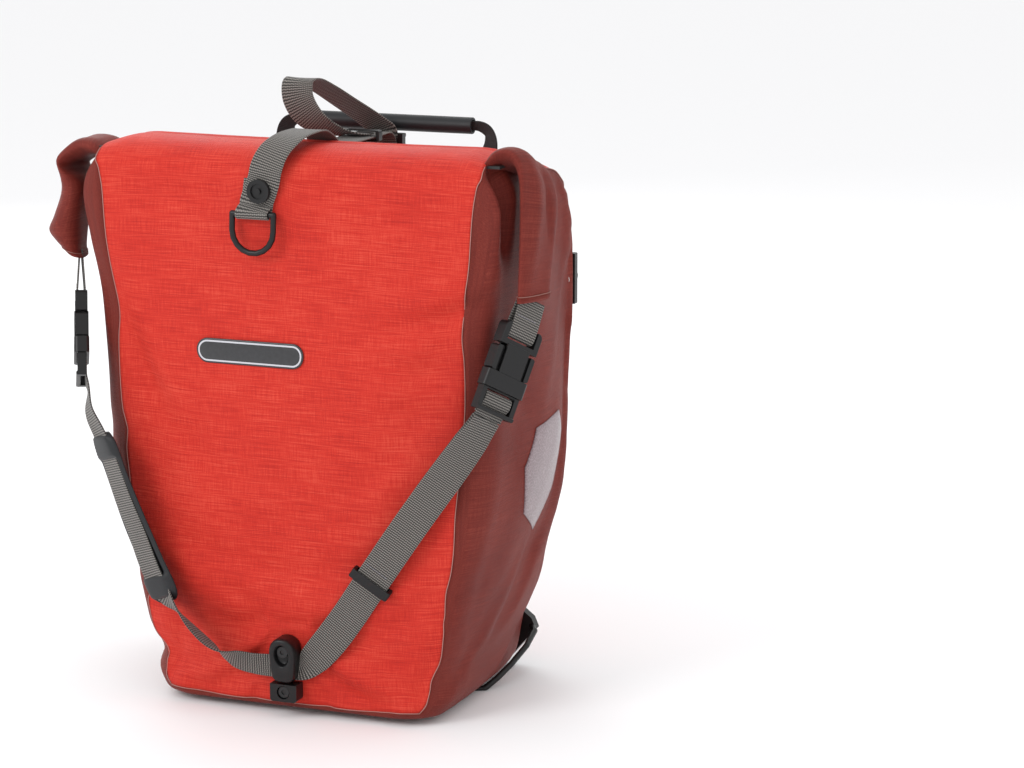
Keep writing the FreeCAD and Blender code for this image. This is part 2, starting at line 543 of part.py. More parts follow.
# ---- carrying handle ----------------------------------------------------------------------------
grip = rod(V(-GRIP_HALF, GRIP_Y, GRIP_Z), V(GRIP_HALF, GRIP_Y, GRIP_Z), GRIP_R)
save(grip.cut(rod(V(-90, GRIP_Y, GRIP_Z), V(90, GRIP_Y, GRIP_Z), GRIP_R - 1.8)), "handle_grip")
LEG_OUT = GRIP_HALF + 9.5
LEG_LOW = 354.0
leg_plate = prism_yz([(95.6, LEG_LOW), (97.1, LEG_LOW), (104.4, 402.0), (102.9, 402.0)], LEG_OUT - 15,
                     LEG_OUT)
riser = box(GRIP_HALF + 1.0, LEG_OUT, 102.4, 105.4, 401.0, GRIP_Z + 3.2)
tail = box(GRIP_HALF - 28, GRIP_HALF + 3, 102.5, 105.3, GRIP_Z - 3.0, GRIP_Z + 3.0)
leg = fuse(leg_plate, riser, tail)
save(leg, "handle_leg_right")
save(mirrored(leg), "handle_leg_left")

# ---- lower rail and swinging hook ---------------------------------------------------------------
arc_y = BACK_Y + GAP


def arc_band(inner, outer, half_deg, y0, y1):
    """A piece of a flat ring about the lower rail's centre, open side up."""
    a = math.radians(half_deg)

    def point(r, t):
        return V(r * math.sin(t), y0, ARC_CENTRE_Z - r * math.cos(t))

    edges = [Part.Arc(point(outer, -a), point(outer, 0), point(outer, a)).toShape(),
             Part.LineSegment(point(outer, a), point(inner, a)).toShape(),
             Part.Arc(point(inner, a), point(inner, 0), point(inner, -a)).toShape(),
             Part.LineSegment(point(inner, -a), point(outer, -a)).toShape()]
    return Part.Face(Part.Wire(edges)).extrude(V(0, y1 - y0, 0))


band = arc_band(ARC_R - ARC_BAND / 2, ARC_R + ARC_BAND / 2, ARC_HALF_DEG, arc_y, arc_y + ARC_T)
ear = prism_xz([(70, 94), (89, 100), (92.5, 112), (90, 121), (76, 125), (67, 108)], arc_y, arc_y + ARC_T)
arc_rail = fuse(band, ear, mirrored(ear))
arc_slot = arc_band(ARC_R - SLOT_W / 2, ARC_R + SLOT_W / 2, SLOT_HALF_DEG, arc_y - 1, arc_y + ARC_T + 1)
nut_channel = arc_band(ARC_R - 5.5, ARC_R + 5.5, SLOT_HALF_DEG + 1, arc_y - 1, arc_y + 2.6)
save(cut(arc_rail, arc_slot, nut_channel, *shank_holes[3:5]), "lower_rail")
save(Part.Compound([cap_screw(p, p.y - SHANK_END_Y) for p in arc_screw_points]), "lower_rail_screws")

knob_angle = math.radians(-CARRIAGE_DEG)
knob = V(ARC_R * math.sin(knob_angle), 0, ARC_CENTRE_Z - ARC_R * math.cos(knob_angle))
rail_top_y = arc_y + ARC_T


def disc(radius, y0, y1):
    return Part.makeCylinder(radius, y1 - y0, V(knob.x, y0, knob.z), Y)


carriage = fuse(disc(4.9, arc_y + GAP, arc_y + 2.2), disc(2.7, arc_y + 1.0, rail_top_y + 2.0),
                disc(10.5, rail_top_y + GAP, rail_top_y + 2.4))
save(carriage.cut(disc(1.52, 70, 110)), "stay_hook_slider")
FIN_Y = (rail_top_y + 2.7, rail_top_y + 6.2)
fin_ring = disc(14.0, *FIN_Y)
lean = math.radians(FIN_LEAN_DEG)
fin_side = [(-10.5, 0), (-11.5, 26), (-9.0, 55), (0.0, 63.5), (8.5, 61), (12, 40), (12, 14), (10.5, 0)]
fin_outline = [(knob.x + u * math.cos(lean) + w * math.sin(lean),
                knob.z - u * math.sin(lean) + w * math.cos(lean))
               for u, w in fin_side]
fin_plate = prism_xz(fin_outline, FIN_Y[0] + 6.0, FIN_Y[0] + 11.5)
fin_root = prism_xz([(knob.x + u * math.cos(lean) + w * math.sin(lean),
                      knob.z - u * math.sin(lean) + w * math.cos(lean))
                     for u, w in ((-10.5, 3), (-10.8, 15), (10.8, 15),
                                  (10.5, 3))], FIN_Y[0] + 0.8, FIN_Y[0] + 11.5)
KNOB_R = 12.8
save(cut(fuse(fin_ring, fin_plate, fin_root), disc(KNOB_R + 0.4, FIN_Y[1] + GAP, 130), disc(1.52, 70, 130)),
     "stay_hook_fin")
knob_top = FIN_Y[1] + 10.8
knob_body = disc(KNOB_R, FIN_Y[1] + 0.6, knob_top)
knob_body = knob_body.makeFillet(1.2, [e for e in knob_body.Edges if e.CenterOfMass.y > knob_top - 0.1
                                       and e.Curve.TypeId == "Part::GeomCircle"])
cross = [prism_xz([(knob.x + u * math.cos(t) + w * math.sin(t), knob.z - u * math.sin(t) + w * math.cos(t))
                   for u, w in ((-8.5, -1.3), (8.5, -1.3), (8.5, 1.3), (-8.5, 1.3))],
                  knob_top - 2.4, knob_top + 2)
         for t in (math.radians(40), math.radians(130))]
knob_stem = disc(1.45, arc_y + 1.0, FIN_Y[1] + 2)
knob_socket = disc(3.2, knob_top - 3.4, knob_top + 2)
save(cut(fuse(knob_body, knob_stem), *cross, knob_socket), "stay_hook_knob")

# ---- edge guard ---------------------------------------------------------------------------------
guard_y = BACK_Y + GAP
guard_half = [(0, 0), (100, 0), (108, 8), (118, 20), (127.5, 31), (124, 39), (115, 46), (104, 50), (92, 42),
              (80, 31), (70, 27), (24, 25), (19, 27), (17, 33), (0, 35)]
guard_outline = guard_half + [(-x, z) for x, z in reversed(guard_half[1:-1])]
guard_back = prism_xz(guard_outline, guard_y, GUARD_Y)
recess_rim = [(96, 3), (112, 22), (104, 40), (82, 24), (24, 19), (14, 28), (0, 29)]
inner_face = prism_xz([(x, z) for x, z in recess_rim] + [(-x, z) for x, z in reversed(recess_rim[:-1])],
                      GUARD_Y - 2.0, GUARD_Y + 1)
bosses = [rod(V(p.x, guard_y, p.z), V(p.x, GUARD_Y - 0.5, p.z), 9.0) for p in guard_screw_points]
foot = prism_xz([(-100, 0), (100, 0), (100, BASE_PLATE), (-100, BASE_PLATE)], -45.0, GUARD_Y - 3)
LOOP_R = 2.3
loop = bent_rod([V(122.0, guard_y + 4, 33), V(128.5, 80, 31), V(129.5, 60, 25), V(124.5, 40, 15.5),
                 V(118.5, 28, 8),
                 V(111.0, 20, 1.0), V(98, 14, 0.7)], LOOP_R)
guard = fuse(guard_back.cut(inner_face), foot, loop, mirrored(loop), *bosses)
guard = cut(guard, box(-BIG, BIG, -BIG, BIG, -10, 0),
            *[clear_hole(p, p.y - SHANK_END_Y) for p in guard_screw_points])
save(guard, "edge_guard")
save(Part.Compound([cap_screw(V(p.x, p.y - 0.5, p.z), p.y - 0.5 - SHANK_END_Y) for p in guard_screw_points]),
     "edge_guard_screws")

# ---- shoulder strap, its hook, pad and slider ---------------------------------------------------
STRAP_Y = -89.0
HOOK_STRAP_Z = 37.0
BUNCHED = 17.0             # webbing width where it is squeezed behind the hook
buckle_out = (side_face - side_dir * side_face.dot(side_dir)).normalize()


def buckle_point(y, z):
    """A point of the right side buckle's own frame, in the middle of its width."""
    return side_origin + buckle_out * y + side_dir * z


def flip(p):
    return V(-p.x, p.y, p.z)


LAYER = 0.72
TAIL_LAYER = 1.35          # the loose end lies a little higher than the strap under it
right_line = [(V(34, STRAP_Y, 60), facing(3)), (V(48, STRAP_Y, 79), facing(6)),
              (V(66, STRAP_Y - 2.6, 105), facing(8)), (V(100, STRAP_Y - 2.2, 155), facing(12)),
              (V(128, -92, 194), facing(25)), (V(145, -94, 217), facing(42)),
              (buckle_point(-4.6, 47), buckle_out)]
hook_line = [(V(-30, STRAP_Y, 44), facing(0)), (V(-12, STRAP_Y, HOOK_STRAP_Z), facing(0)),
             (V(12, STRAP_Y, HOOK_STRAP_Z), facing(0)), (V(22, STRAP_Y, 46), facing(0))]
left_out = flip(buckle_out)
left_line = [(flip(buckle_point(-3.0, 29)), left_out), (flip(buckle_point(-3.0, 40)), left_out),
             (flip(buckle_point(-4.6, 47)), left_out), (V(-152, -96.5, 218), facing(-50)),
             (V(-143, -97.5, 200), facing(-42)), (V(-120, -98, 140), facing(-33)),
             (V(-95, -96, 80), facing(-30)), (V(-74, -93, 62), facing(-25)),
             (V(-54, -90, 49), facing(-10))]
plug_wrap = [(-3.0, 40), (-2.7, 34), (-2.7, 29), (-1.9, 27.3), (-0.1, 26.6), (1.7, 27.3), (2.4, 29),
             (2.4, 33.5), (1.1, 36), (-0.6, 38.5), (-1.4, 42)]
line = left_line + hook_line + [(c - n * LAYER, n) for c, n in right_line]
widths = [WEBBING] * (len(left_line) + 1) + [BUNCHED] * 2 + [WEBBING - 2] + [WEBBING] * len(right_line)
for i, (y, z) in enumerate(plug_wrap):
    before, after = plug_wrap[max(i - 1, 0)], plug_wrap[min(i + 1, len(plug_wrap) - 1)]
    normal = buckle_out * (after[1] - before[1]) - side_dir * (after[0] - before[0])
    line.append((buckle_point(y, z), normal.normalize()))
    widths.append(WEBBING)
save(ribbon([c for c, n in line], [n for c, n in line], widths, WEB_T), "shoulder_strap")
last_centre, last_normal = line[-1]
tail = [(c + n * TAIL_LAYER, n) for c, n in right_line[2:]]
tail.append((last_centre + side_dir * 0.4, last_normal * -1))
save(ribbon([c for c, n in tail], [n for c, n in tail], WEBBING, WEB_T), "shoulder_strap_tail")

slider_dir = (right_line[3][0] - right_line[1][0]).normalize()
save(strap_slider(right_line[2][0] - slider_dir * -3, slider_dir, facing(8)), "shoulder_strap_slider")

pad_line = [(V(-96.5, -96.1, 84), facing(-30)), (V(-120, -98, 140), facing(-33)),
            (V(-141.5, -97.6, 196), facing(-41))]


def pad_plate(offset, width, thickness, line):
    return ribbon([c + n * offset for c, n in line], [n for c, n in line], width, thickness)


def part_way(a, b, t):
    return (a[0] + (b[0] - a[0]) * t, (a[1] + (b[1] - a[1]) * t).normalize())


ends = [[pad_line[0], part_way(pad_line[0], pad_line[1], 0.3)],
        [part_way(pad_line[1], pad_line[2], 0.7), pad_line[2]]]
pad = [pad_plate(-2.6, 37.0, 3.0, pad_line)]
for line in ends:
    bridge = pad_plate(0.35, 36.0, 5.1, line)
    through = [part_way(line[0], line[1], -0.5), part_way(line[0], line[1], 1.5)]
    pad.append(bridge.cut(pad_plate(0.0, 27.0, 2.6, through)))
save(fuse(*pad), "shoulder_pad")

hook_outline = [(-8.5, 27), (8.5, 27), (10.3, 36), (10.3, 51), (7, 58.5), (0, 61), (-7, 58.5), (-10.3, 51),
                (-10.3, 36)]
strap_hook = prism_xz(hook_outline, -100.0, FRONT_Y - GAP)
strap_window = box(-15, 15, -92.6, FRONT_Y + 1, 26, 57.0)
post = prism_xz([(-6, 46.2), (6, 46.2), (9.5, 50), (9, 57), (-9, 57), (-9.5, 50)], -93.0, FRONT_Y - GAP)
hook_solid = fuse(strap_hook.cut(strap_window), post)
recess = fuse(rod(V(0, -102, 50.5), V(0, -95.5, 50.5), 5.4), rod(V(0, -102, 44), V(0, -95.5, 44), 5.4),
              box(-5.4, 5.4, -102, -95.5, 44, 50.5))
save(cut(hook_solid, recess, rod(V(0, -110, 50.5), V(0, -70, 50.5), SCREW_R + 0.1)), "strap_hook")
base = round_along(box(-10.5, 10.5, -97, FRONT_Y - GAP, 13.0, 26.0), Y, 2.5, lambda c: c.z < 15)
save(cut(base, rod(V(0, -99, 20), V(0, -94, 20), 5.0), rod(V(0, -110, 20), V(0, -70, 20), SCREW_R + 0.1)),
     "strap_hook_base")


def front_screw(z, head_y):
    shank = rod(V(0, head_y, z), V(0, FRONT_Y + 5, z), SCREW_R)
    head = rod(V(0, head_y - 1.8, z), V(0, head_y, z), 4.2)
    return fuse(shank, head).cut(rod(V(0, head_y - 3, z), V(0, head_y - 0.8, z), 1.8))


save(Part.Compound([front_screw(50.5, -95.6), front_screw(20, -94.1)]), "strap_hook_screws")

# ---- reflectors and badge -----------------------------------------------------------------------
REFLECT_Z = 165.0
reflect_outline = [(-34, 14), (-16, 40), (30, 44), (38, 28), (34, -14), (6, -42), (-26, -22)]
skin = bag_solid(-0.6, SECTIONS[0][0], SHELL_TOP).cut(bag_solid(-0.12, SECTIONS[0][0] - 1, SHELL_TOP + 1))
patch = skin.common(prism_yz([(y + 4, z + REFLECT_Z) for y, z in reflect_outline], 100, 200))
save(patch, "reflector_right")
save(mirrored(patch), "reflector_left")
badge = round_along(box(-68.5, 15.5, FRONT_Y - 1.2, FRONT_Y - 0.1, 258.0, 276.0), Y, 3.0)
save(badge, "badge")
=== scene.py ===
"""Roll-top bicycle pannier: fabric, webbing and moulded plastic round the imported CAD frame.

The shapes are worked out in millimetres and made in metres, +Z up, with the front at -Y.
"""
import json
import math

import bpy
import numpy as np
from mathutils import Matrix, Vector


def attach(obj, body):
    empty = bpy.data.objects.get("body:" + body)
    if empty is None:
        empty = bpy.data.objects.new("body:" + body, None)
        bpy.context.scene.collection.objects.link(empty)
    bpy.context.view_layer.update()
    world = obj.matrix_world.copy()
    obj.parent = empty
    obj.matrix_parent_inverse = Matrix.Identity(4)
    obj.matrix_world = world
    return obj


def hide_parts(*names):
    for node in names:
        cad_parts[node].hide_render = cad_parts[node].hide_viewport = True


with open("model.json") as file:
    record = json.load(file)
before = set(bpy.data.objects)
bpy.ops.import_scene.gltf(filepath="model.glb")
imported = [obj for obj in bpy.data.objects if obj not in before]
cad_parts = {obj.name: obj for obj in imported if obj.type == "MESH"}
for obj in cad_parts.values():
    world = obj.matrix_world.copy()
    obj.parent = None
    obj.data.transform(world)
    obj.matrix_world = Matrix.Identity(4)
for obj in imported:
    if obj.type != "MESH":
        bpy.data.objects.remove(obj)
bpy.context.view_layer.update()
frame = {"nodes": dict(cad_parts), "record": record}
MM = 0.001
BAG = "bag"


# ---- materials ----------------------------------------------------------------------------------
class Nodes:
    """A short way to build a node tree."""

    def __init__(self, name):
        self.material = bpy.data.materials.new(name)
        self.material.use_nodes = True
        self.tree = self.material.node_tree
        self.tree.nodes.clear()
        self.out = self.tree.nodes.new("ShaderNodeOutputMaterial")
        self.shader = self.tree.nodes.new("ShaderNodeBsdfPrincipled")
        self.tree.links.new(self.shader.outputs[0], self.out.inputs[0])

    def link(self, source, socket):
        if isinstance(source, (int, float, tuple)):
            socket.default_value = source
        else:
            self.tree.links.new(source, socket)

    def set(self, name, source):
        self.link(source, self.shader.inputs[name])

    def math(self, op, a, b=0.0, clamp=False):
        node = self.tree.nodes.new("ShaderNodeMath")
        node.operation = op
        node.use_clamp = clamp
        self.link(a, node.inputs[0])
        self.link(b, node.inputs[1])
        return node.outputs[0]

    def mul(self, a, b, clamp=False):
        return self.math("MULTIPLY", a, b, clamp)

    def add(self, a, b, clamp=False):
        return self.math("ADD", a, b, clamp)

    def sub(self, a, b, clamp=False):
        return self.math("SUBTRACT", a, b, clamp)

    def abs(self, a):
        return self.math("ABSOLUTE", a)

    def attribute(self, name):
        node = self.tree.nodes.new("ShaderNodeAttribute")
        node.attribute_name = name
        split = self.tree.nodes.new("ShaderNodeSeparateXYZ")
        self.tree.links.new(node.outputs["Vector"], split.inputs[0])
        return split.outputs[0], split.outputs[1], split.outputs[2]

    def place(self):
        return self.tree.nodes.new("ShaderNodeTexCoord").outputs["Object"]

    def mapped(self, vector, scale):
        node = self.tree.nodes.new("ShaderNodeMapping")
        self.link(vector, node.inputs["Vector"])
        node.inputs["Scale"].default_value = scale
        return node.outputs[0]

    def vector(self, x, y, z):
        node = self.tree.nodes.new("ShaderNodeCombineXYZ")
        for value, socket in zip((x, y, z), node.inputs):
            self.link(value, socket)
        return node.outputs[0]

    def noise(self, vector, scale, detail=2.0, rough=0.5):
        node = self.tree.nodes.new("ShaderNodeTexNoise")
        self.link(vector, node.inputs["Vector"])
        node.inputs["Scale"].default_value = scale
        node.inputs["Detail"].default_value = detail
        node.inputs["Roughness"].default_value = rough
        return node.outputs["Fac"]

    def stretched(self, place, across, along, detail=2.0, rough=0.6):
        """Noise with one scale across the cloth and another along it."""
        u, v, layer = place
        return self.noise(self.vector(self.mul(u, across), self.mul(v, along), layer), 1.0, detail, rough)

    def ramp(self, value, stops):
        node = self.tree.nodes.new("ShaderNodeValToRGB")
        self.link(value, node.inputs[0])
        ramp = node.color_ramp
        while len(ramp.elements) < len(stops):
            ramp.elements.new(0.5)
        for element, (at, colour) in zip(ramp.elements, stops):
            element.position = at
            element.color = (*colour, 1.0)
        return node.outputs[0]

    def mix(self, fac, a, b, blend="MIX"):
        node = self.tree.nodes.new("ShaderNodeMix")
        node.data_type = "RGBA"
        node.blend_type = blend
        self.link(fac, node.inputs[0])
        for value, socket in ((a, node.inputs[6]), (b, node.inputs[7])):
            self.link((*value, 1.0) if isinstance(value, tuple) else value, socket)
        return node.outputs[2]

    def spread(self, value, low, high):
        """Maps 0..1 to low..high."""
        return self.add(self.mul(value, high - low), low)

    def bump(self, height, strength, distance, normal=None):
        node = self.tree.nodes.new("ShaderNodeBump")
        node.inputs["Strength"].default_value = strength
        node.inputs["Distance"].default_value = distance
        self.link(height, node.inputs["Height"])
        if normal is not None:
            self.link(normal, node.inputs["Normal"])
        return node.outputs[0]


YARN = 0.62      # spacing of two yarns of the fabric


def fabric_material(name, dark, base, light, streak=1.0):
    """Coated woven fabric with slubs: long flecks along the weft, short ones along the warp."""
    n = Nodes(name)
    place = u, v, layer = n.attribute("weave")
    weft = n.stretched(place, 30.0, 1600.0)
    warp = n.stretched(place, 1500.0, 70.0)
    slub = n.stretched(place, 38.0, 1050.0, 1.0, 0.5)
    grain = n.noise(n.vector(u, v, layer), 1900.0, 1.0, 0.5)
    blotch = n.noise(n.vector(u, v, layer), 16.0, 3.0, 0.55)
    patch = n.stretched(place, 9.0, 40.0, 2.0, 0.5)
    strong = n.mul(n.sub(slub, 0.5), n.spread(patch, 0.2, 1.7))
    tone = n.mul(strong, 0.42 * streak)
    for part, weight in ((weft, 1.05 * streak), (warp, 0.62 * streak), (grain, 0.4), (blotch, 0.5)):
        tone = n.add(tone, n.mul(n.sub(part, 0.5), weight))
    tone = n.add(tone, 0.5, clamp=True)
    n.set("Base Color", n.ramp(tone, [(0.12, dark), (0.5, base), (0.90, light)]))
    pitch = 2 * math.pi / (YARN * MM)
    warp_wave = n.math("SINE", n.mul(u, pitch))
    weft_wave = n.math("SINE", n.mul(v, pitch))
    weave = n.mul(warp_wave, weft_wave)
    height = n.add(n.mul(weave, 0.5), n.mul(weft, 1.4))
    height = n.add(height, n.mul(warp, 0.8))
    n.set("Normal", n.bump(height, 0.45, 0.0003))
    n.set("Roughness", n.spread(blotch, 0.50, 0.66))
    n.set("Specular IOR Level", 0.2)
    n.set("Sheen Weight", 0.03)
    n.set("Sheen Roughness", 0.5)
    return n.material


def webbing_material(name, dark, light, pitch=1.75, column=1.5):
    """Woven tape: short bars across it in offset columns."""
    n = Nodes(name)
    u, v, layer = n.attribute("web")
    col = n.math("FLOOR", n.math("DIVIDE", u, column * MM))
    shift = n.mul(n.math("MODULO", n.abs(col), 2.0), 0.10)
    along = n.add(n.math("DIVIDE", v, pitch * MM), shift)
    bar = n.abs(n.math("SINE", n.mul(along, math.pi)))
    across = n.math("FRACT", n.math("DIVIDE", u, column * MM))
    edge = n.abs(n.sub(across, 0.5))
    inside = n.sub(1.0, n.mul(n.math("POWER", n.mul(edge, 2.0), 5.0), 0.45))
    height = n.mul(n.math("POWER", bar, 0.7), inside)
    fuzz = n.noise(n.vector(u, v, layer), 2600.0, 2.0, 0.6)
    tone = n.mul(height, n.spread(fuzz, 0.7, 1.25), clamp=True)
    n.set("Base Color", n.ramp(tone, [(0.36, dark), (0.66, tuple(0.30 * c for c in light)), (0.95, light)]))
    n.set("Normal", n.bump(height, 0.7, 0.0004))
    n.set("Roughness", n.spread(fuzz, 0.6, 0.8))
    n.set("Specular IOR Level", 0.3)
    n.set("Sheen Weight", 0.15)
    return n.material


def plastic_material(name, base, rough=0.42, speckle=0.5, grain=2200.0):
    """Moulded plastic with a fine spark-eroded grain, a little handling shine and faint scuffs."""
    n = Nodes(name)
    where = n.place()
    fine = n.noise(where, grain, 2.0, 0.6)
    wide = n.noise(where, 45.0, 4.0, 0.6)
    scuffs = n.noise(n.mapped(where, (60.0, 900.0, 260.0)), 1.0, 2.0, 0.7)
    worn = tuple(c * 1.8 + 0.006 for c in base)
    scratch = n.mul(n.sub(scuffs, 0.60, clamp=True), 3.0, clamp=True)
    colour = n.mix(n.mul(scratch, speckle), base, worn)
    n.set("Base Color", colour)
    n.set("Normal", n.bump(fine, 0.22, 0.00012))
    n.set("Roughness", n.spread(wide, rough - 0.10, rough + 0.12))
    n.set("Specular IOR Level", 0.34)
    return n.material


def metal_material(name, base, rough, metallic=1.0):
    n = Nodes(name)
    where = n.place()
    brushed = n.noise(n.mapped(where, (2500.0, 300.0, 300.0)), 1.0, 2.0, 0.6)
    blotch = n.noise(where, 120.0, 3.0, 0.6)
    n.set("Base Color", n.mix(n.mul(blotch, 0.5), base, tuple(c * 0.7 for c in base)))
    n.set("Metallic", metallic)
    n.set("Roughness", n.spread(brushed, rough - 0.06, rough + 0.1))
    n.set("Normal", n.bump(brushed, 0.06, 0.0001))
    return n.material


def reflective_material(name):
    """Silver film with a fine honeycomb of cells under a clear skin, coloured a darkened pink that paints the
    reflected red fabric and the shade in its folds.
    """
    n = Nodes(name)
    u, v, layer = n.attribute("weave")
    cells = n.tree.nodes.new("ShaderNodeTexVoronoi")
    cells.feature = "DISTANCE_TO_EDGE"
    cells.inputs["Scale"].default_value = 420.0
    n.link(n.vector(u, v, layer), cells.inputs["Vector"])
    edge = n.mul(cells.outputs["Distance"], 8.0, clamp=True)
    cloud = n.noise(n.vector(u, v, layer), 60.0, 3.0, 0.6)
    # painted reflection and painted shade: the pale grey film is darkened and tinted pink, in clouds, as if it
    # reflected the red fabric
    painted_pink_reflection = n.ramp(cloud, [(0.2, (0.145, 0.095, 0.106)), (0.8, (0.225, 0.155, 0.17))])
    n.set("Base Color", n.mix(edge, (0.30, 0.23, 0.245), painted_pink_reflection))
    n.set("Metallic", 0.25)
    n.set("Roughness", n.spread(cloud, 0.22, 0.4))
    n.set("Normal", n.bump(edge, 0.1, 0.0001))
    n.set("Coat Weight", 0.25)
    n.set("Coat Roughness", 0.12)
    return n.material


def thread_material(name, colour):
    n = Nodes(name)
    where = n.place()
    twist = n.noise(where, 3800.0, 2.0, 0.6)
    n.set("Base Color", n.mix(twist, tuple(c * 0.6 for c in colour), colour))
    n.set("Normal", n.bump(twist, 0.4, 0.0002))
    n.set("Roughness", 0.6)
    return n.material


def badge_material(name):
    """A plain dark tag with a thin pale border inside its edge and no mark."""
    n = Nodes(name)
    u, v, rim = n.attribute("weave")
    border = n.mul(n.math("GREATER_THAN", rim, 0.16), n.math("LESS_THAN", rim, 0.30))
    cloud = n.noise(n.vector(u, v, 0.0), 300.0, 3.0, 0.6)
    dark = n.ramp(cloud, [(0.2, (0.010, 0.010, 0.012)), (0.8, (0.022, 0.022, 0.025))])
    n.set("Base Color", n.mix(border, dark, (0.52, 0.52, 0.56)))
    n.set("Roughness", n.spread(cloud, 0.28, 0.42))
    n.set("Coat Weight", 0.3)
    n.set("Coat Roughness", 0.2)
    return n.material


RED = fabric_material("red_fabric", (0.39, 0.013, 0.009), (0.565, 0.025, 0.0135), (0.70, 0.080, 0.048))
BRICK = fabric_material("brick_fabric", (0.100, 0.0105, 0.0072), (0.165, 0.0195, 0.0128), (0.255, 0.043, 0.029),
                        0.8)
GREY_WEB = webbing_material("grey_webbing", (0.010, 0.009, 0.008), (0.24, 0.222, 0.204))
BLACK_WEB = webbing_material("black_webbing", (0.006, 0.006, 0.006), (0.030, 0.030, 0.031), 1.1, 0.9)
PLASTIC = plastic_material("black_plastic", (0.0065, 0.0063, 0.0068), 0.36)
GREY_PLASTIC = plastic_material("grey_plastic", (0.052, 0.052, 0.072), 0.48)
SCREW = metal_material("black_screw", (0.025, 0.025, 0.026), 0.36, 0.4)
STEEL = metal_material("steel", (0.72, 0.71, 0.69), 0.22)
RUBBER = plastic_material("rubber", (0.013, 0.014, 0.016), 0.5, 0.4, 900.0)
BOARD = plastic_material("board", (0.03, 0.03, 0.03), 0.6)
FILM = reflective_material("reflective_film")
SEAM = thread_material("seam_edge", (0.50, 0.23, 0.20))
BRICK_SEAM = thread_material("brick_edge", (0.36, 0.16, 0.13))
THREAD = thread_material("thread", (0.36, 0.34, 0.40))
TAG = badge_material("tag")


# ---- mesh helpers -------------------------------------------------------------------------------
def add_piece(name, verts, faces, material, nodes=(), body=BAG, attribute=None, data=None):
    """A mesh piece in millimetres that rides on a body and stands for some CAD nodes."""
    mesh = bpy.data.meshes.new(name)
    mesh.from_pydata((np.asarray(verts, float) * MM).tolist(), [], [list(f) for f in faces])
    mesh.validate()
    mesh.polygons.foreach_set("use_smooth", [True] * len(mesh.polygons))
    if attribute:
        layer = mesh.attributes.new(attribute, "FLOAT_VECTOR", "POINT")
        layer.data.foreach_set("vector", (np.asarray(data, float) * MM).ravel())
    mesh.materials.append(material)
    obj = bpy.data.objects.new(name, mesh)
    bpy.context.scene.collection.objects.link(obj)
    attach(obj, body)
    if nodes:
        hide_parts(*nodes)
    return obj


def spline(points, step):
    """Catmull-Rom through rows of numbers, resampled about every step along the first three columns."""
    points = np.asarray(points, float)
    ext = np.vstack([2 * points[0] - points[1], points, 2 * points[-1] - points[-2]])
    dense = []
    for i in range(1, len(ext) - 2):
        p0, p1, p2, p3 = ext[i - 1:i + 3]
        d = [max(np.linalg.norm((b - a)[:3]), 1e-6) ** 0.5 for a, b in ((p0, p1), (p1, p2), (p2, p3))]
        t0, t1, t2, t3 = 0.0, d[0], d[0] + d[1], sum(d)
        for t in np.linspace(t1, t2, 24, endpoint=False):
            a1 = (t1 - t) / (t1 - t0) * p0 + (t - t0) / (t1 - t0) * p1
            a2 = (t2 - t) / (t2 - t1) * p1 + (t - t1) / (t2 - t1) * p2
            a3 = (t3 - t) / (t3 - t2) * p2 + (t - t2) / (t3 - t2) * p3
            b1 = (t2 - t) / (t2 - t0) * a1 + (t - t0) / (t2 - t0) * a2
            b2 = (t3 - t) / (t3 - t1) * a2 + (t - t1) / (t3 - t1) * a3
            dense.append((t2 - t) / (t2 - t1) * b1 + (t - t1) / (t2 - t1) * b2)
    dense.append(points[-1])
    dense = np.array(dense)
    length = np.concatenate([[0], np.cumsum(np.linalg.norm(np.diff(dense[:, :3], axis=0), axis=1))])
    at = np.linspace(0, length[-1], max(3, int(length[-1] / step) + 1))
    return np.column_stack([np.interp(at, length, dense[:, k]) for k in range(dense.shape[1])]), at


def tube_faces(rings, around, closed_ends=True):
    faces = []
    for r in range(rings - 1):
        for k in range(around):
            a, b = r * around + k, r * around + (k + 1) % around
            faces.append((a, b, b + around, a + around))
    if closed_ends:
        faces.append(tuple(reversed(range(around))))
        faces.append(tuple(range((rings - 1) * around, rings * around)))
    return faces


def tape_section(width, thick):
    """Cross section of webbing: rounded selvedges, very slightly thicker than the middle."""
    half, t = width / 2, thick / 2
    left = [-half + t * 0.25, -half + t, -half * 0.8, -half * 0.4]
    xs = left + [0] + [-x for x in reversed(left)]
    ts = [0.62, 1.0, 0.90, 0.86, 0.86, 0.86, 0.90, 1.0, 0.62]
    top = [(x, t * k) for x, k in zip(xs, ts)]
    bottom = [(x, -t * k) for x, k in zip(reversed(xs), reversed(ts))]
    return np.array(top + [(half, 0)] + bottom + [(-half, 0)])


def tape(name, centres, normals, width, thick, material, nodes=(), body=BAG, step=1.6, wave=0.0, seed=1):
    """Webbing along centres with its face turned to the normals. Width is one number or one per point."""
    centres = np.array([list(c) for c in centres], float)
    normals = np.array([list(n) for n in normals], float)
    widths = np.full(len(centres), width, float) if np.isscalar(width) else np.asarray(width, float)
    rows, at = spline(np.column_stack([centres, normals, widths]), step)
    line, normal, wide = rows[:, :3], rows[:, 3:6], rows[:, 6]
    tangent = np.gradient(line, axis=0)
    tangent /= np.linalg.norm(tangent, axis=1)[:, None]
    side = np.cross(tangent, normal)
    side /= np.linalg.norm(side, axis=1)[:, None]
    up = np.cross(side, tangent)
    section = tape_section(1.0, 1.0)
    verts, data = [], []
    ripple = np.sin(at * 0.11 + seed) * wave + np.sin(at * 0.043 + 2 * seed) * wave
    for p, s, n, w, v, r in zip(line, side, up, wide, at, ripple):
        sec = tape_section(w, thick)
        for x, y in sec:
            cup = r * (2 * x / w) ** 2
            verts.append(p + s * x + n * (y + cup))
            data.append((x + w / 2, v, seed))
    faces = tube_faces(len(line), len(section))
    return add_piece(name, verts, faces, material, nodes, body, "web", data)


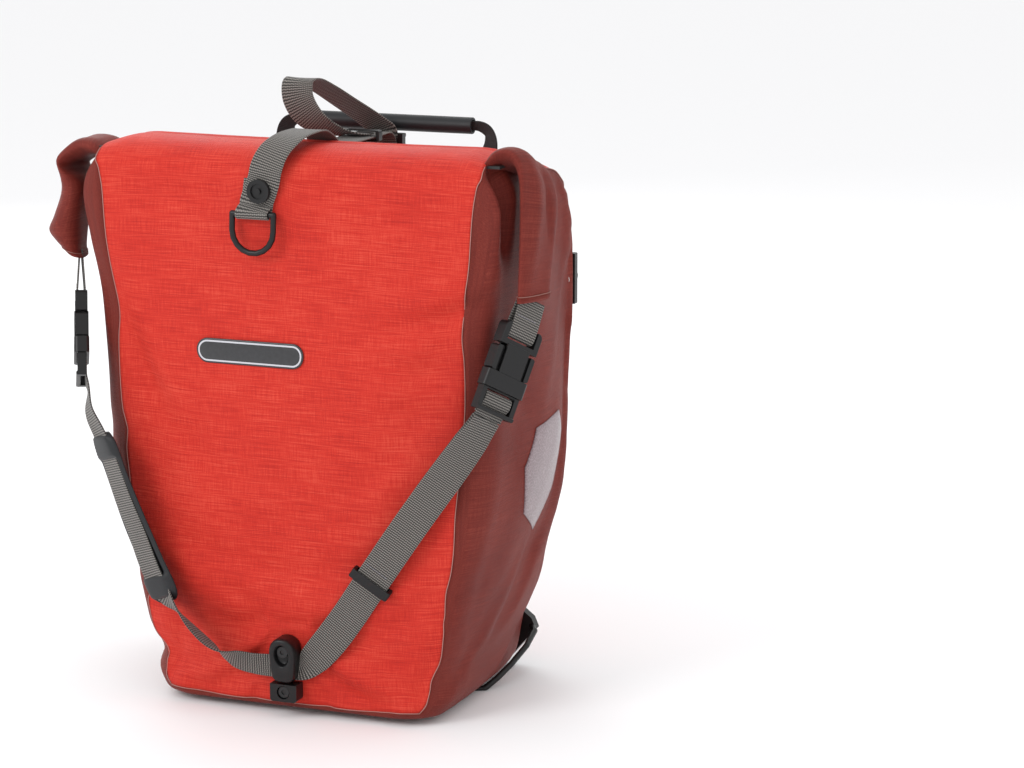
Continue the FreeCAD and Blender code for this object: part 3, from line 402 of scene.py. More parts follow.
def path_normals(points):
    points = np.asarray(points, float)
    steps = np.array([points[min(i + 1, len(points) - 1)] - points[max(i - 1, 0)] for i in range(len(points))])
    normals = np.column_stack([np.zeros(len(points)), -steps[:, 2], steps[:, 1]])
    return normals / np.linalg.norm(normals, axis=1)[:, None]


def wire(name, points, radius, material, step, flat=1.0):
    """A round or flattened thread along points, used for seams and the edges of hems."""
    around = 6
    line, _ = spline(points, step)
    tangent = np.gradient(line, axis=0)
    tangent /= np.linalg.norm(tangent, axis=1)[:, None] + 1e-12
    ref = np.array([0.0, 1.0, 0.0]) if abs(tangent[:, 1]).mean() < 0.8 else np.array([1.0, 0, 0])
    side = np.cross(tangent, ref)
    side /= np.linalg.norm(side, axis=1)[:, None] + 1e-12
    up = np.cross(side, tangent)
    angles = np.linspace(0, 2 * math.pi, around, endpoint=False)
    verts = [p + (s * math.cos(a) + u * math.sin(a) * flat) * radius
             for p, s, u in zip(line, side, up) for a in angles]
    add_piece(name, verts, tube_faces(len(line), around), material)


def stitches(name, points, normal):
    """A row of thread stitches lying on a flat surface along points."""
    length, gap, radius = 2.1, 0.5, 0.24
    normals = [normal] * len(points)
    rows, at = spline(np.column_stack([points, normals]), 0.3)
    verts, faces = [], []
    start = 0.0
    while start + length < at[-1]:
        ends = []
        for d in np.linspace(0, 1, 7):
            s = start + d * length
            p = np.array([np.interp(s, at, rows[:, k]) for k in range(3)])
            n = np.array([np.interp(s, at, rows[:, 3 + k]) for k in range(3)])
            n /= np.linalg.norm(n)
            rise = radius * 0.9 * math.sin(math.pi * d) - 0.08
            ends.append((p + n * rise, n, math.sin(math.pi * (0.12 + 0.76 * d))))
        base = len(verts)
        direction = ends[-1][0] - ends[0][0]
        direction /= np.linalg.norm(direction)
        for p, n, r in ends:
            side = np.cross(direction, n)
            for a in np.linspace(0, 2 * math.pi, 6, endpoint=False):
                verts.append(p + (side * math.cos(a) + n * math.sin(a)) * radius * r)
        faces += [tuple(base + i for i in f) for f in tube_faces(7, 6)]
        start += length + gap
    add_piece(name, verts, faces, THREAD)


# ---- the fabric bag -----------------------------------------------------------------------------
SECTION_Z = [3.3, 14.0, 60.0, 120.0, 200.0, 290.0, 392.0, 430.0]
BELLY = [1.5, 2.5, 4.0, 5.0, 5.0, 4.0, 3.0, 2.0]
HALF_Z = [3.3, 14, 30, 44, 54, 84, 106, 136, 160, 200, 245, 293, 345, 392, 430]
HALF = [107, 115.5, 119.5, 122.5, 126, 134, 140.5, 148, 153, 156.5, 157.5, 161, 166.5, 168, 168]
REAR_Z = [3.3, 14, 44, 57, 81, 105, 136, 160, 190, 214, 290, 327, 355, 375, 392, 430]
REAR_HALF = [106, 114.5, 121.5, 127, 135.5, 141, 148, 153, 157.5, 159, 161.5, 162, 159.5, 157, 154, 152]
BACK_R = 10.0
FRONT_Y, BACK_Y = -85.0, 85.0
RADIUS_Z, RADIUS = [0, 230, 300, 345, 375, 430], [28.0, 28.0, 24.0, 15.0, 9.0, 6.0]
SEAM_Z = [0, 9, 14, 36, 54, 84, 106, 136, 160, 194, 245, 273, 288, 316, 330, 358, 386, 408, 430]
SEAM_X = [97, 100, 104, 111, 116.5, 121, 124, 128.5, 130.5, 134.4, 139, 139.4, 138.6, 140, 141.3, 144, 147,
          151, 153]
BACK_SEAM_Z = [0, 13, 45, 120, 180, 258, 320, 368, 390]
BACK_SEAM_X = [106, 111, 119, 131, 142, 154, 156, 151.5, 149.5]
TOP_SEAM_S = [0, 14, 34, 56, 80, 100, 130, 165, 200, 235]
TOP_SEAM_X = [152.5, 152.5, 152, 151, 150, 149.5, 149, 149, 149, 149.5]
# over the top, from the front edge of the roll to the top of the back panel (Y, Z)
TOP_LINE = [(-85.0, 400.0), (-83.0, 407.0), (-77.0, 413.5), (-67.0, 418.5), (-52.0, 420.6), (-36.0, 420.0),
            (-24.0, 416.6), (-16.0, 410.5), (-9.0, 405.8), (4.0, 404.8), (22.0, 405.8), (40.0, 405.8),
            (56.0, 403.8), (70.0, 399.2),
            (79.5, 392.0), (84.6, 382.5), (85.0, 368.0)]


def smooth_interp(x, xs, ys):
    """Cubic Hermite through the table, with slopes limited so that it never overshoots."""
    x = np.asarray(x, float)
    xs, ys = np.asarray(xs, float), np.asarray(ys, float)
    d = np.diff(ys) / np.diff(xs)
    middle = np.where(d[:-1] * d[1:] > 0, 2 * d[:-1] * d[1:] / (d[:-1] + d[1:] + 1e-12), 0)
    m = np.concatenate([[d[0]], middle, [d[-1]]])
    i = np.clip(np.searchsorted(xs, x) - 1, 0, len(xs) - 2)
    h = xs[i + 1] - xs[i]
    t = (x - xs[i]) / h
    return ((2 * t ** 3 - 3 * t ** 2 + 1) * ys[i] + (t ** 3 - 2 * t ** 2 + t) * h * m[i]
            + (-2 * t ** 3 + 3 * t ** 2) * ys[i + 1] + (t ** 3 - t ** 2) * h * m[i + 1])


def half_width(z):
    return smooth_interp(z, HALF_Z, HALF)


def front_seam_x(z):
    return smooth_interp(z, SEAM_Z, SEAM_X)


def front_radius(z):
    return smooth_interp(z, RADIUS_Z, RADIUS)


def front_y(x, z):
    """The front face and its rounded corners."""
    a, r = half_width(z), front_radius(z)
    over = np.clip((np.abs(x) - (a - r)) / r, 0, 0.999)
    return FRONT_Y + r * (1 - np.sqrt(1 - over ** 2))


def back_y(x, z):
    a = smooth_interp(z, REAR_Z, REAR_HALF)
    over = np.clip((np.abs(x) - (a - BACK_R)) / BACK_R, 0, 0.97)
    return BACK_Y - BACK_R * (1 - np.sqrt(1 - over ** 2))


def side_x(y, z):
    """The bellied side wall with its two rounded corners, for the right-hand side."""
    a = half_width(z)
    a = a + (smooth_interp(z, REAR_Z, REAR_HALF) - a) * np.clip((y + 60) / 70, 0, 1)
    belly = smooth_interp(z, SECTION_Z, BELLY)
    r = front_radius(z)
    mid, reach = (FRONT_Y + r + BACK_Y - BACK_R) / 2, (BACK_Y - BACK_R - FRONT_Y - r) / 2
    bulge = belly * np.clip(1 - ((y - mid) / reach) ** 2, 0, 1)
    front = np.clip((FRONT_Y + r - y) / r, 0, 0.9999)
    back = np.clip((y - (BACK_Y - BACK_R)) / BACK_R, 0, 0.9999)
    return a + bulge - r * (1 - np.sqrt(1 - front ** 2)) - BACK_R * (1 - np.sqrt(1 - back ** 2))


COLS = 50       # faces across the front and the back
ROWS = 60       # faces up the front and the back
TOPS = 34       # faces over the top, which is also the number across each side
Z_LOW = 9.0     # where the walls begin to roll under
z_front = Z_LOW + (TOP_LINE[0][1] - Z_LOW) * np.linspace(0, 1, ROWS + 1)
z_back = Z_LOW + (TOP_LINE[-1][1] - Z_LOW) * np.linspace(0, 1, ROWS + 1)
top_rows, _ = spline([(0, y, z) for y, z in TOP_LINE], 1.0)
top_at = np.concatenate([[0], np.cumsum(np.linalg.norm(np.diff(top_rows, axis=0), axis=1))])
top_s = np.linspace(0, top_at[-1], TOPS + 1)
top_y, top_z = (np.interp(top_s, top_at, top_rows[:, k]) for k in (1, 2))


class Shell:
    """Collects welded vertices and faces with a region number and fabric coordinates."""

    def __init__(self):
        self.verts, self.faces, self.region, self.weave = [], [], [], []

    def add(self, p, uv):
        self.verts.append(p)
        self.weave.append(uv)
        return len(self.verts) - 1


shell = Shell()
strip_u = np.linspace(-1, 1, COLS + 1)
# the strip: up the front, over the top and down the back
strip_rows = []
length = 0.0
last = None
for part, index in [("front", i) for i in range(ROWS + 1)] + [("top", i) for i in range(1, TOPS)] + \
                   [("back", i) for i in range(ROWS, -1, -1)]:
    if part == "front":
        z = z_front[index]
        half = float(front_seam_x(z))
        xs = strip_u * half
        ys, zs = front_y(xs, z), np.full(COLS + 1, z)
        key = (FRONT_Y, z)
    elif part == "top":
        half = float(smooth_interp(top_s[index], TOP_SEAM_S, TOP_SEAM_X))
        xs = strip_u * half
        lift = -1.6 * (1 - strip_u ** 2) * math.exp(-((top_y[index] + 45) / 30) ** 2)
        start = front_y(xs, TOP_LINE[0][1]) - FRONT_Y
        rounding = start * math.exp(-(top_s[index] / 13.0) ** 2)
        end = back_y(xs, TOP_LINE[-1][1]) - BACK_Y
        rounding = rounding + end * math.exp(-((top_s[-1] - top_s[index]) / 10.0) ** 2)
        # the roll's ends and the rear shoulder's corners hang a little
        end_u = np.clip((np.abs(strip_u) - 0.86) / 0.14, 0, 1)
        droop = 6.0 * end_u ** 2 * math.exp(-((top_y[index] + 45) / 32) ** 2)
        rear = np.clip((top_y[index] + 30) / 90, 0, 1)
        corner_u = np.clip((np.abs(strip_u) - 0.80) / 0.20, 0, 1)
        below = np.clip((top_z[index] - 369) / 24, 0, 1)
        droop = droop + 13.0 * corner_u ** 2 * math.sin(rear * math.pi / 2) ** 2 * below
        ys, zs = top_y[index] + rounding, np.full(COLS + 1, top_z[index]) + lift - droop
        key = (top_y[index], top_z[index])
    else:
        z = z_back[index]
        half = float(smooth_interp(z, BACK_SEAM_Z, BACK_SEAM_X))
        xs = strip_u * half
        ys, zs = back_y(xs, z), np.full(COLS + 1, z)
        key = (BACK_Y, z)
    if last is not None:
        length += math.hypot(key[0] - last[0], key[1] - last[1])
    last = key
    strip_rows.append([shell.add((x, y, z), (x, length, 0.0)) for x, y, z in zip(xs, ys, zs)])
n_front, n_top = ROWS, ROWS + TOPS
for r in range(len(strip_rows) - 1):
    region = 0 if r < n_front + TOPS // 2 else 1
    for c in range(COLS):
        a, b = strip_rows[r][c], strip_rows[r][c + 1]
        d, e = strip_rows[r + 1][c], strip_rows[r + 1][c + 1]
        shell.faces.append((a, b, e, d))
        shell.region.append(region)


def side_patch(sign):
    """One gusset side between the front seam, the line over the top and the back seam."""
    col = COLS if sign > 0 else 0
    left = [strip_rows[i][col] for i in range(ROWS + 1)]
    top = [strip_rows[ROWS + i][col] for i in range(TOPS + 1)]
    right = [strip_rows[len(strip_rows) - 1 - i][col] for i in range(ROWS + 1)]
    V = np.array(shell.verts)
    L, T, R = V[left], V[top], V[right]
    grid = [[None] * (TOPS + 1) for _ in range(ROWS + 1)]
    arc = np.linspace(0, 1, TOPS + 1)
    bottom_y = L[0, 1] + (R[0, 1] - L[0, 1]) * arc
    bottom = np.column_stack([np.zeros(TOPS + 1), bottom_y, np.full(TOPS + 1, Z_LOW)])
    for j in range(ROWS + 1):
        t = j / ROWS
        for i in range(TOPS + 1):
            s = arc[i]
            if i == 0:
                grid[j][i] = left[j]
                continue
            if i == TOPS:
                grid[j][i] = right[j]
                continue
            if j == ROWS:
                grid[j][i] = top[i]
                continue
            p = (1 - s) * L[j] + s * R[j] + (1 - t) * bottom[i] + t * T[i]
            p = p - ((1 - s) * (1 - t) * bottom[0] + s * (1 - t) * bottom[-1]
                     + (1 - s) * t * T[0] + s * t * T[-1])
            y, z = p[1], p[2]
            x = float(side_x(y, min(z, 400.0)))
            edge_x = abs(T[i, 0])
            near = min(1.0, (1 - t) * 400.0 / 30.0)
            if x > edge_x:
                x = edge_x + (x - edge_x) * math.sin(near * math.pi / 2) ** 0.7
            grid[j][i] = shell.add((sign * x, y, z), (y + 500 * sign, z, 2.0))
    for j in range(ROWS):
        for i in range(TOPS):
            q = (grid[j][i], grid[j][i + 1], grid[j + 1][i + 1], grid[j + 1][i])
            shell.faces.append(q if sign > 0 else q[::-1])
            shell.region.append(2)
    return grid


right_grid, left_grid = side_patch(1), side_patch(-1)
# the bottom: rings that roll under the lower edge and close in the middle
ring = [strip_rows[0][c] for c in range(COLS + 1)]
ring += [right_grid[0][i] for i in range(1, TOPS + 1)]
ring += [strip_rows[-1][c] for c in range(COLS - 1, -1, -1)]
ring += [left_grid[0][i] for i in range(TOPS - 1, 0, -1)]
outline = np.array([shell.verts[i] for i in ring])
previous = ring
for z, inset in ((7.6, 0.6), (6.2, 1.6), (5.0, 3.2), (4.0, 6.0), (3.5, 10.0), (3.4, 20.0), (3.4, 34.0),
                 (3.4, 50.0), (3.4, 68.0), (3.4, 84.5)):
    rows = []
    for p in outline:
        scale_y = max(0.0, 1 - inset / 85.0)
        scale_x = max(0.0, 1 - inset / 110.0)
        q = (p[0] * scale_x, p[1] * scale_y, z)
        rows.append(shell.add(q, (q[0] + 900, q[1], 4.0)))
    for k in range(len(ring)):
        m = (k + 1) % len(ring)
        shell.faces.append((previous[m], previous[k], rows[k], rows[m]))
        shell.region.append(2)
    previous = rows
shell.faces.append(tuple(reversed(previous)))
shell.region.append(2)

VERTS = np.array(shell.verts)
WEAVE = np.array(shell.weave)
REGION = np.array(shell.region)


SIM_FRAMES = 22


def simulate(verts, faces):
    """Lets the fabric relax: it grows a little, is pressed out by what's inside, and creases."""
    mesh = bpy.data.meshes.new("sim")
    mesh.from_pydata((verts * MM).tolist(), [], [list(f) for f in faces])
    obj = bpy.data.objects.new("sim", mesh)
    bpy.context.scene.collection.objects.link(obj)
    pins = obj.vertex_groups.new(name="pin")
    for i, (x, y, z) in enumerate(verts):
        on_back, on_floor = y > 83.5 and z < 375, z < 4.5
        under_hook = abs(x) < 15 and y < -80 and z < 66
        weight = 0.02
        if on_back or on_floor or under_hook:
            weight = 1.0
        elif -24 < y < -5 and z > 403:
            weight = 0.8
        pins.add([i], weight, "REPLACE")
    cloth = obj.modifiers.new("cloth", "CLOTH")
    settings = cloth.settings
    settings.quality = 5
    settings.mass = 0.25
    settings.tension_stiffness = 22
    settings.compression_stiffness = 22
    settings.shear_stiffness = 12
    settings.bending_stiffness = 1.6
    settings.tension_damping = 12
    settings.compression_damping = 12
    settings.air_damping = 3
    settings.use_pressure = True
    settings.uniform_pressure_force = 1.3
    settings.shrink_min = -0.012
    settings.vertex_group_mass = "pin"
    settings.pin_stiffness = 1.0
    settings.effector_weights.gravity = 0.25
    cloth.collision_settings.use_collision = False
    scene = bpy.context.scene
    scene.frame_start, scene.frame_end = 1, SIM_FRAMES
    for f in range(1, SIM_FRAMES + 1):
        scene.frame_set(f)
    graph = bpy.context.evaluated_depsgraph_get()
    result = obj.evaluated_get(graph).to_mesh()
    co = np.zeros(len(verts) * 3)
    result.vertices.foreach_get("co", co)
    obj.evaluated_get(graph).to_mesh_clear()
    bpy.data.objects.remove(obj)
    bpy.data.meshes.remove(mesh)
    scene.frame_set(1)
    return co.reshape(-1, 3) / MM


def bump_at(x, z, cx, cz, sx, sz, angle=0.0):
    """A soft oblong dent or swelling, 1 at its middle."""
    c, s = math.cos(angle), math.sin(angle)
    u = ((x - cx) * c + (z - cz) * s) / sx
    w = (-(x - cx) * s + (z - cz) * c) / sz
    return np.exp(-(u * u + w * w))


# the folds of the front: height, centre X and Z, half length, half height, slant in degrees
FRONT_FOLDS = [(-5.2, 112, 303, 40, 8, 14), (3.0, 116, 322, 46, 9, 10), (-3.6, 96, 268, 32, 8, -10),
               (2.0, 100, 252, 38, 9, -6), (-4.4, -122, 262, 9, 46, 24), (3.0, -98, 244, 11, 54, 26),
               (-2.6, -74, 196, 9, 44, 34), (-3.0, -70, 381, 52, 9, -5), (-3.4, 34, 388, 26, 6, -24),
               (1.8, 42, 376, 34, 8, -20), (-2.4, 84, 372, 38, 7, 12), (-3.6, -98, 42, 8, 24, -15),
               (-2.8, 46, 20, 44, 7, 5), (2.2, 90, 66, 42, 12, 20), (-2.6, 98, 92, 30, 7, 42),
               (-2.2, 108, 128, 26, 6, 30), (-2.2, -40, 92, 30, 7, -30), (-1.8, 20, 150, 60, 12, 8)]


def hand_folds(verts):
    """The folds of the bag that a relaxing cloth doesn't find by itself, in mm outwards."""
    x, y, z = verts.T
    d = np.zeros(len(verts))
    front = (y < -70) & (z < 405)
    f = np.zeros(len(verts))
    for height, cx, cz, sx, sz, degrees in FRONT_FOLDS:
        f += height * bump_at(x, z, cx, cz, sx, sz, math.radians(degrees))
    d += np.where(front, f, 0)
    side = (np.abs(x) > np.maximum(100, half_width(z) - 10)) & (y > -82)
    g = np.zeros(len(verts))
    lean = y + 68.0 + (z - 380) * 0.05
    g -= 15.0 * np.exp(-(lean / 6.5) ** 4) * np.clip((z - 338) / 30, 0, 1) * np.clip((424 - z) / 14, 0, 1)
    g += 7.0 * np.exp(-((y + 4) / 32) ** 2 - ((z - 368) / 40) ** 2) * np.clip((410 - z) / 16, 0, 1)
    crease = (y - 46) * 0.62 - (z - 362)
    g -= 3.4 * np.exp(-(crease / 5.0) ** 2) * np.exp(-((y - 42) / 30) ** 2)
    g += 2.4 * np.exp(-((crease + 13) / 8.0) ** 2) * np.exp(-((y - 38) / 30) ** 2)
    g -= 3.0 * np.exp(-(((y + 58) + (z - 285) * 0.25) / 11) ** 2 - ((z - 285) / 40) ** 2)
    g -= 2.4 * np.exp(-(((y + 20) + (z - 232) * 0.4) / 14) ** 2 - ((z - 232) / 46) ** 2)
    g += 1.3 * np.sin(y * 0.06 + z * 0.024) * np.clip((z - 20) / 80, 0, 1)
    d += np.where(side, g, 0)
    return d


def vertex_normals(verts, faces):
    n = np.zeros_like(verts)
    quads = np.array([f[:4] for f in faces if len(f) == 4])
    a, b, c, e = (verts[quads[:, k]] for k in range(4))
    fn = np.cross(c - a, e - b)
    for k in range(4):
        np.add.at(n, quads[:, k], fn)
    return n / (np.linalg.norm(n, axis=1)[:, None] + 1e-12)


MOVE_CAP = 6.0       # the most that the simulation may move a point
FRONT_SWELL = 2.2    # the most that the front may swell, and below it the rest
SWELL = 4.5
normals = vertex_normals(VERTS, shell.faces)
moved = simulate(VERTS, shell.faces)
shift = moved - VERTS
size = np.linalg.norm(shift, axis=1)
shift *= np.minimum(1.0, MOVE_CAP / np.maximum(size, 1e-9))[:, None]
out = (shift * normals).sum(1)
limit = np.where((VERTS[:, 1] < -70) & (VERTS[:, 2] < 395), FRONT_SWELL, SWELL)
shift -= normals * np.clip(out - limit, 0, None)[:, None]
x, y, z = VERTS.T
# the movement fades where something is fastened flat to the cloth, and towards the floor
calm = np.ones(len(VERTS))
calm *= 1 - np.exp(-(x / 20) ** 4 - ((z - 36) / 34) ** 4) * (y < -70)
calm *= 1 - np.exp(-((x + 18) / 22) ** 4 - ((z - 378) / 24) ** 4) * (y < -70)
calm *= np.where(y > 82, 0.05, 1.0)
calm *= 1 - 0.85 * np.exp(-((y - 14) / 46) ** 6 - ((z - 170) / 52) ** 6) * (np.abs(x) > 105)
calm *= np.clip((z - 3.4) / 6.0, 0, 1)
calm *= 1 - 0.45 * (np.abs(x) > half_width(z) - 12) * np.clip((135 - z) / 40, 0, 1)
SKIN = VERTS + shift * calm[:, None] + normals * (hand_folds(VERTS) * calm)[:, None]
# the seams wander a little, most at the lower front corners
pinch = sum(depth * np.exp(-((z - at) / reach) ** 2)
            for depth, at, reach in ((7.0, 37, 9), (6.0, 104, 10), (2.5, 205, 9)))
near_seam = np.exp(-((np.abs(x) - front_seam_x(z)) / 22) ** 2)
SKIN[:, 0] -= np.sign(x) * pinch * (y < -50) * near_seam * np.where(x < 0, 1.0, 0.3)


FABRIC_T = 1.3


def panel(name, region, material, nodes):
    """One panel of the bag: its faces, subdivided once, with the fabric's thickness behind it."""
    picked = [f for f, r in zip(shell.faces, REGION) if r == region]
    used = sorted({i for f in picked for i in f})
    index = {old: new for new, old in enumerate(used)}
    faces = [tuple(index[i] for i in f) for f in picked]
    weave = WEAVE[used].copy()
    weave[:, 2] = 3.0 * region
    obj = add_piece(name, SKIN[used], faces, material, nodes, BAG, "weave", weave)
    sub = obj.modifiers.new("smooth", "SUBSURF")
    sub.levels = sub.render_levels = 1
    solid = obj.modifiers.new("cloth thickness", "SOLIDIFY")
    solid.thickness = FABRIC_T * MM
    solid.offset = -1.0


panel("front_and_roll", 0, RED, ("front_panel", "roll_closure"))
panel("back_and_shoulder", 1, RED, ("back_panel",))
panel("gusset", 2, BRICK, ("side_gusset",))


def seam(name, ids, radius=0.32):
    """The pale welded edge along a row of the skin's points."""
    n = vertex_normals(SKIN, shell.faces)
    wire(name, [SKIN[i] + n[i] * 0.12 for i in ids], radius, SEAM, 2.0, 0.8)


for side, col in (("right", COLS), ("left", 0)):
    seam(f"front_seam_{side}", [strip_rows[i][col] for i in range(0, ROWS + 4)])
    seam(f"back_seam_{side}", [strip_rows[i][col] for i in range(n_top - 18, len(strip_rows))], 0.36)
seam("front_seam_low", [strip_rows[0][c] for c in range(COLS + 1)])
seam("back_seam_low", [strip_rows[-1][c] for c in range(COLS + 1)], 0.36)


# ---- the folded ends of the roll ----------------------------------------------------------------
def ripple(a, b, seed, waves=7):
    """Soft irregular unevenness over two coordinates in mm, about -1 to 1."""
    rng = np.random.default_rng(seed)
    total = 0.0
    for _ in range(waves):
        turn, scale, phase = rng.uniform(0, 2 * math.pi), rng.uniform(0.05, 0.22), rng.uniform(0, 6.3)
        total = total + np.sin((a * math.cos(turn) + b * math.sin(turn)) * scale + phase) / waves ** 0.5
    return total * 0.8


# centre X, Y, Z, half width, half thickness, azimuth of the outer face, upward part of the outer face
WING_RIGHT = [(146, -50, 400.0, 20, 5.0, 90, 1.0), (155, -50, 408.0, 24, 6.6, 90, 0.99),
              (164.5, -49.5, 410.0, 25, 6.6, 90, 0.90), (172.5, -49.5, 405.5, 25, 6.2, 88, 0.62),
              (177.5, -50, 394, 24.5, 5.6, 86, 0.22), (178.8, -51, 378, 23.5, 5.4, 84, 0.02),
              (178.8, -52.5, 358, 22, 5.2, 82, -0.05), (178.4, -54.5, 338, 19.5, 4.6, 78, -0.06),
              (178.1, -56.4, 322, 17.0, 4.0, 73, -0.04), (177.8, -56.9, 313.5, 16.2, 3.4, 71, -0.04)]
WING_LEFT = [(146, -50, 398, 20, 5.0, 90, 1.0), (156, -50, 405, 24, 6.8, 90, 0.98),
             (167, -49.5, 406, 25, 6.6, 90, 0.88), (178, -50, 400.5, 25, 5.6, 89, 0.76),
             (185.0, -50.5, 393.5, 24.5, 4.8, 88, 0.72), (180.5, -51.5, 383, 23.5, 7.4, 86, -0.05),
             (179.0, -52.5, 374, 22.5, 9.0, 84, -0.2), (183.5, -54, 358, 22, 10.6, 82, -0.3),
             (188.0, -55, 345, 21, 11.0, 78, -0.1), (185.5, -56, 334, 18.5, 9.0, 74, 0.25),
             (179.5, -57, 325.5, 15.6, 5.6, 71, 0.3)]


def bell(distance, width):
    return math.exp(-(distance / width) ** 2)


def roll_end(sign, stations):
    """The flattened end of the roll: over the corner and down the side to the hem that holds the tab."""
    rows, at = spline(stations, 2.2)
    around = 64
    verts, data = [], []
    total = at[-1]
    for k, row in enumerate(rows):
        p, half, thick, turn, rise = row[:3], row[3], row[4], math.radians(row[5]), row[6]
        rise = min(1.0, max(-1.0, rise))
        level = math.sqrt(1 - rise * rise)
        n = np.array([math.sin(turn) * level, -math.cos(turn) * level, rise])
        slope = (-0.36 if sign > 0 else -0.06) * min(1.0, max(0.0, (p[2] - 350) / 50))
        across = np.array([math.cos(turn), math.sin(turn), slope])
        t = at[k] / total
        for a in np.linspace(0, 2 * math.pi, around, endpoint=False):
            c, s = math.cos(a), math.sin(a)
            w = half * math.copysign(abs(c) ** 0.55, c)
            h = thick * math.copysign(abs(s) ** 1.05, s) * (1.1 + 0.2 * c)
            # soft lengthwise pleats that fade towards the hem, and folds where the cloth turns down
            pleat = 1.3 * math.sin(w * 0.21 + 1.2 + 2.2 * t + sign) * bell(t - 0.42, 0.34)
            pleat -= 2.6 * bell(w - 4 - 16 * (t - 0.3), 3.6) * bell(t - 0.46, 0.2)
            pleat += 1.4 * bell(w + 15 - 6 * t, 5.0) * bell(t - 0.5, 0.3)
            pleat -= 1.5 * bell(t - 0.30 - 0.002 * w, 0.035) * (0.5 + 0.5 * math.sin(w * 0.13 + 1.5))
            pleat += 0.8 * float(ripple(w, at[k], 11 + sign)) * (1 - 0.6 * t)
            h += pleat * (0.9 if s > 0 else 0.3) * abs(s) ** 0.5
            q = p + across * w + n * h
            verts.append((sign * q[0], q[1], q[2]))
            data.append((w + (0 if s > 0 else 300) + 700 * sign, at[k], 5.0))
    faces = tube_faces(len(rows), around, False)
    faces.append(tuple(reversed(range(around))))
    # a shallow mouth at the hem
    last = (len(rows) - 1) * around
    rim = [verts[last + k] for k in range(around)]
    mid = np.mean(rim, axis=0)
    base = len(verts)
    for shrink, depth in ((0.90, 0.3), (0.84, 9.0)):
        for p, d in zip(rim, data[last:last + around]):
            step = np.array(p) - mid
            flat = step * shrink
            flat[0] *= 0.8
            verts.append(tuple(mid + flat + np.array([0, 0, depth])))
            data.append(d)
    deep = base + around
    for k in range(around):
        m = (k + 1) % around
        faces.append((last + k, last + m, base + m, base + k))
        faces.append((base + k, base + m, deep + m, deep + k))
    faces.append(tuple(range(deep, deep + around)))
    if sign < 0:
        faces = [f[::-1] for f in faces]
    word = "right" if sign > 0 else "left"
    add_piece(f"roll_end_cloth_{word}", verts, faces, BRICK, (f"roll_end_{word}",),
              BAG, "weave", data)
    # the hem: a doubled band that stands proud of the sleeve, 6 mm high
    hem = [k for k in range(len(rows)) if at[k] > total - 6.5][0]
    band, band_uv = [], []
    end = len(rows) - 1
    for k, out in ((hem, 0.1), (hem, 0.75), (hem + 1, 0.9), (end - 1, 0.9), (end, 0.75), (end, 0.1)):
        ring = np.array([verts[k * around + i] for i in range(around)])
        away = ring - ring.mean(axis=0)
        away /= np.linalg.norm(away, axis=1)[:, None]
        band += [tuple(q) for q in ring + away * out]
        band_uv += data[k * around:(k + 1) * around]
    faces = tube_faces(6, around, False)
    if sign < 0:
        faces = [f[::-1] for f in faces]
    add_piece(f"hem_{word}", band, faces, BRICK, (), BAG, "weave", band_uv)
    loop = [np.array(verts[hem * around + k]) for k in range(around)]
    middle = np.mean(loop, axis=0)
    loop = [p + (p - middle) / np.linalg.norm(p - middle) * 0.75 for p in loop] + [loop[0]]
    wire(f"hem_edge_{word}", loop, 0.3, BRICK_SEAM, 1.5)


roll_end(1, WING_RIGHT)
roll_end(-1, WING_LEFT)


# ---- webbing ------------------------------------------------------------------------------------
BUCKLE_BACK = np.array([0.0, 94.5, 364.0])
SIDE_DIR = np.array([-0.202, -0.405, -0.893])
SIDE_DIR /= np.linalg.norm(SIDE_DIR)
face_dir = np.array([math.sin(math.radians(60)), -math.cos(math.radians(60)), 0.0])
SIDE_OUT = face_dir - SIDE_DIR * face_dir.dot(SIDE_DIR)
SIDE_OUT /= np.linalg.norm(SIDE_OUT)
SIDE_ORIGIN = np.array([160.0, -92.0, 238.0]) - SIDE_DIR * 41.0
MIRROR = np.array([-1.0, 1.0, 1.0])


def facing(degrees):
    a = math.radians(degrees)
    return np.array([math.sin(a), -math.cos(a), 0.0])


def towards(x, y, z):
    return np.array([x, y, z]) / math.sqrt(x * x + y * y + z * z)


def buckle_point(y, z):
    return SIDE_ORIGIN + SIDE_OUT * y + SIDE_DIR * z


WEB, WEB_T = 25.0, 1.3
STRAP_Y = -89.0      # the middle of the shoulder strap where it lies on the front
LAYER = 0.72         # half the distance of two layers of webbing
right_line = [((34, STRAP_Y, 60), facing(3)), ((48, STRAP_Y, 79), facing(6)),
              ((66, STRAP_Y - 2.6, 105), facing(8)), ((100, STRAP_Y - 2.2, 155), facing(12)),
              ((128, -92, 194), facing(25)), ((145, -94, 217), facing(42)),
              (buckle_point(-4.6, 47), SIDE_OUT)]
hook_line = [((-28, -90.5, 37.5), towards(0.0, -0.93, -0.36)), ((-12, STRAP_Y, 37), facing(0)),
             ((12, STRAP_Y, 37), facing(0)), ((22, STRAP_Y, 46), facing(0))]
left_line = [(buckle_point(-3.0, 29) * MIRROR, SIDE_OUT * MIRROR),
             (buckle_point(-3.0, 40) * MIRROR, SIDE_OUT * MIRROR),
             (buckle_point(-4.6, 47) * MIRROR, SIDE_OUT * MIRROR), ((-152, -96.5, 218), facing(-50)),
             ((-143, -97.5, 200), facing(-42)), ((-120, -98, 140), facing(-33)),
             ((-97, -97.4, 88), facing(-36)),
             ((-85, -98.5, 76), towards(-0.72, -0.56, -0.40)), ((-70, -99, 61.5), towards(-0.70, -0.34, -0.62)),
             ((-55, -97.5, 48.5), towards(-0.55, -0.36, -0.75)),
             ((-42, -93.5, 40.5), towards(-0.2, -0.75, -0.62))]
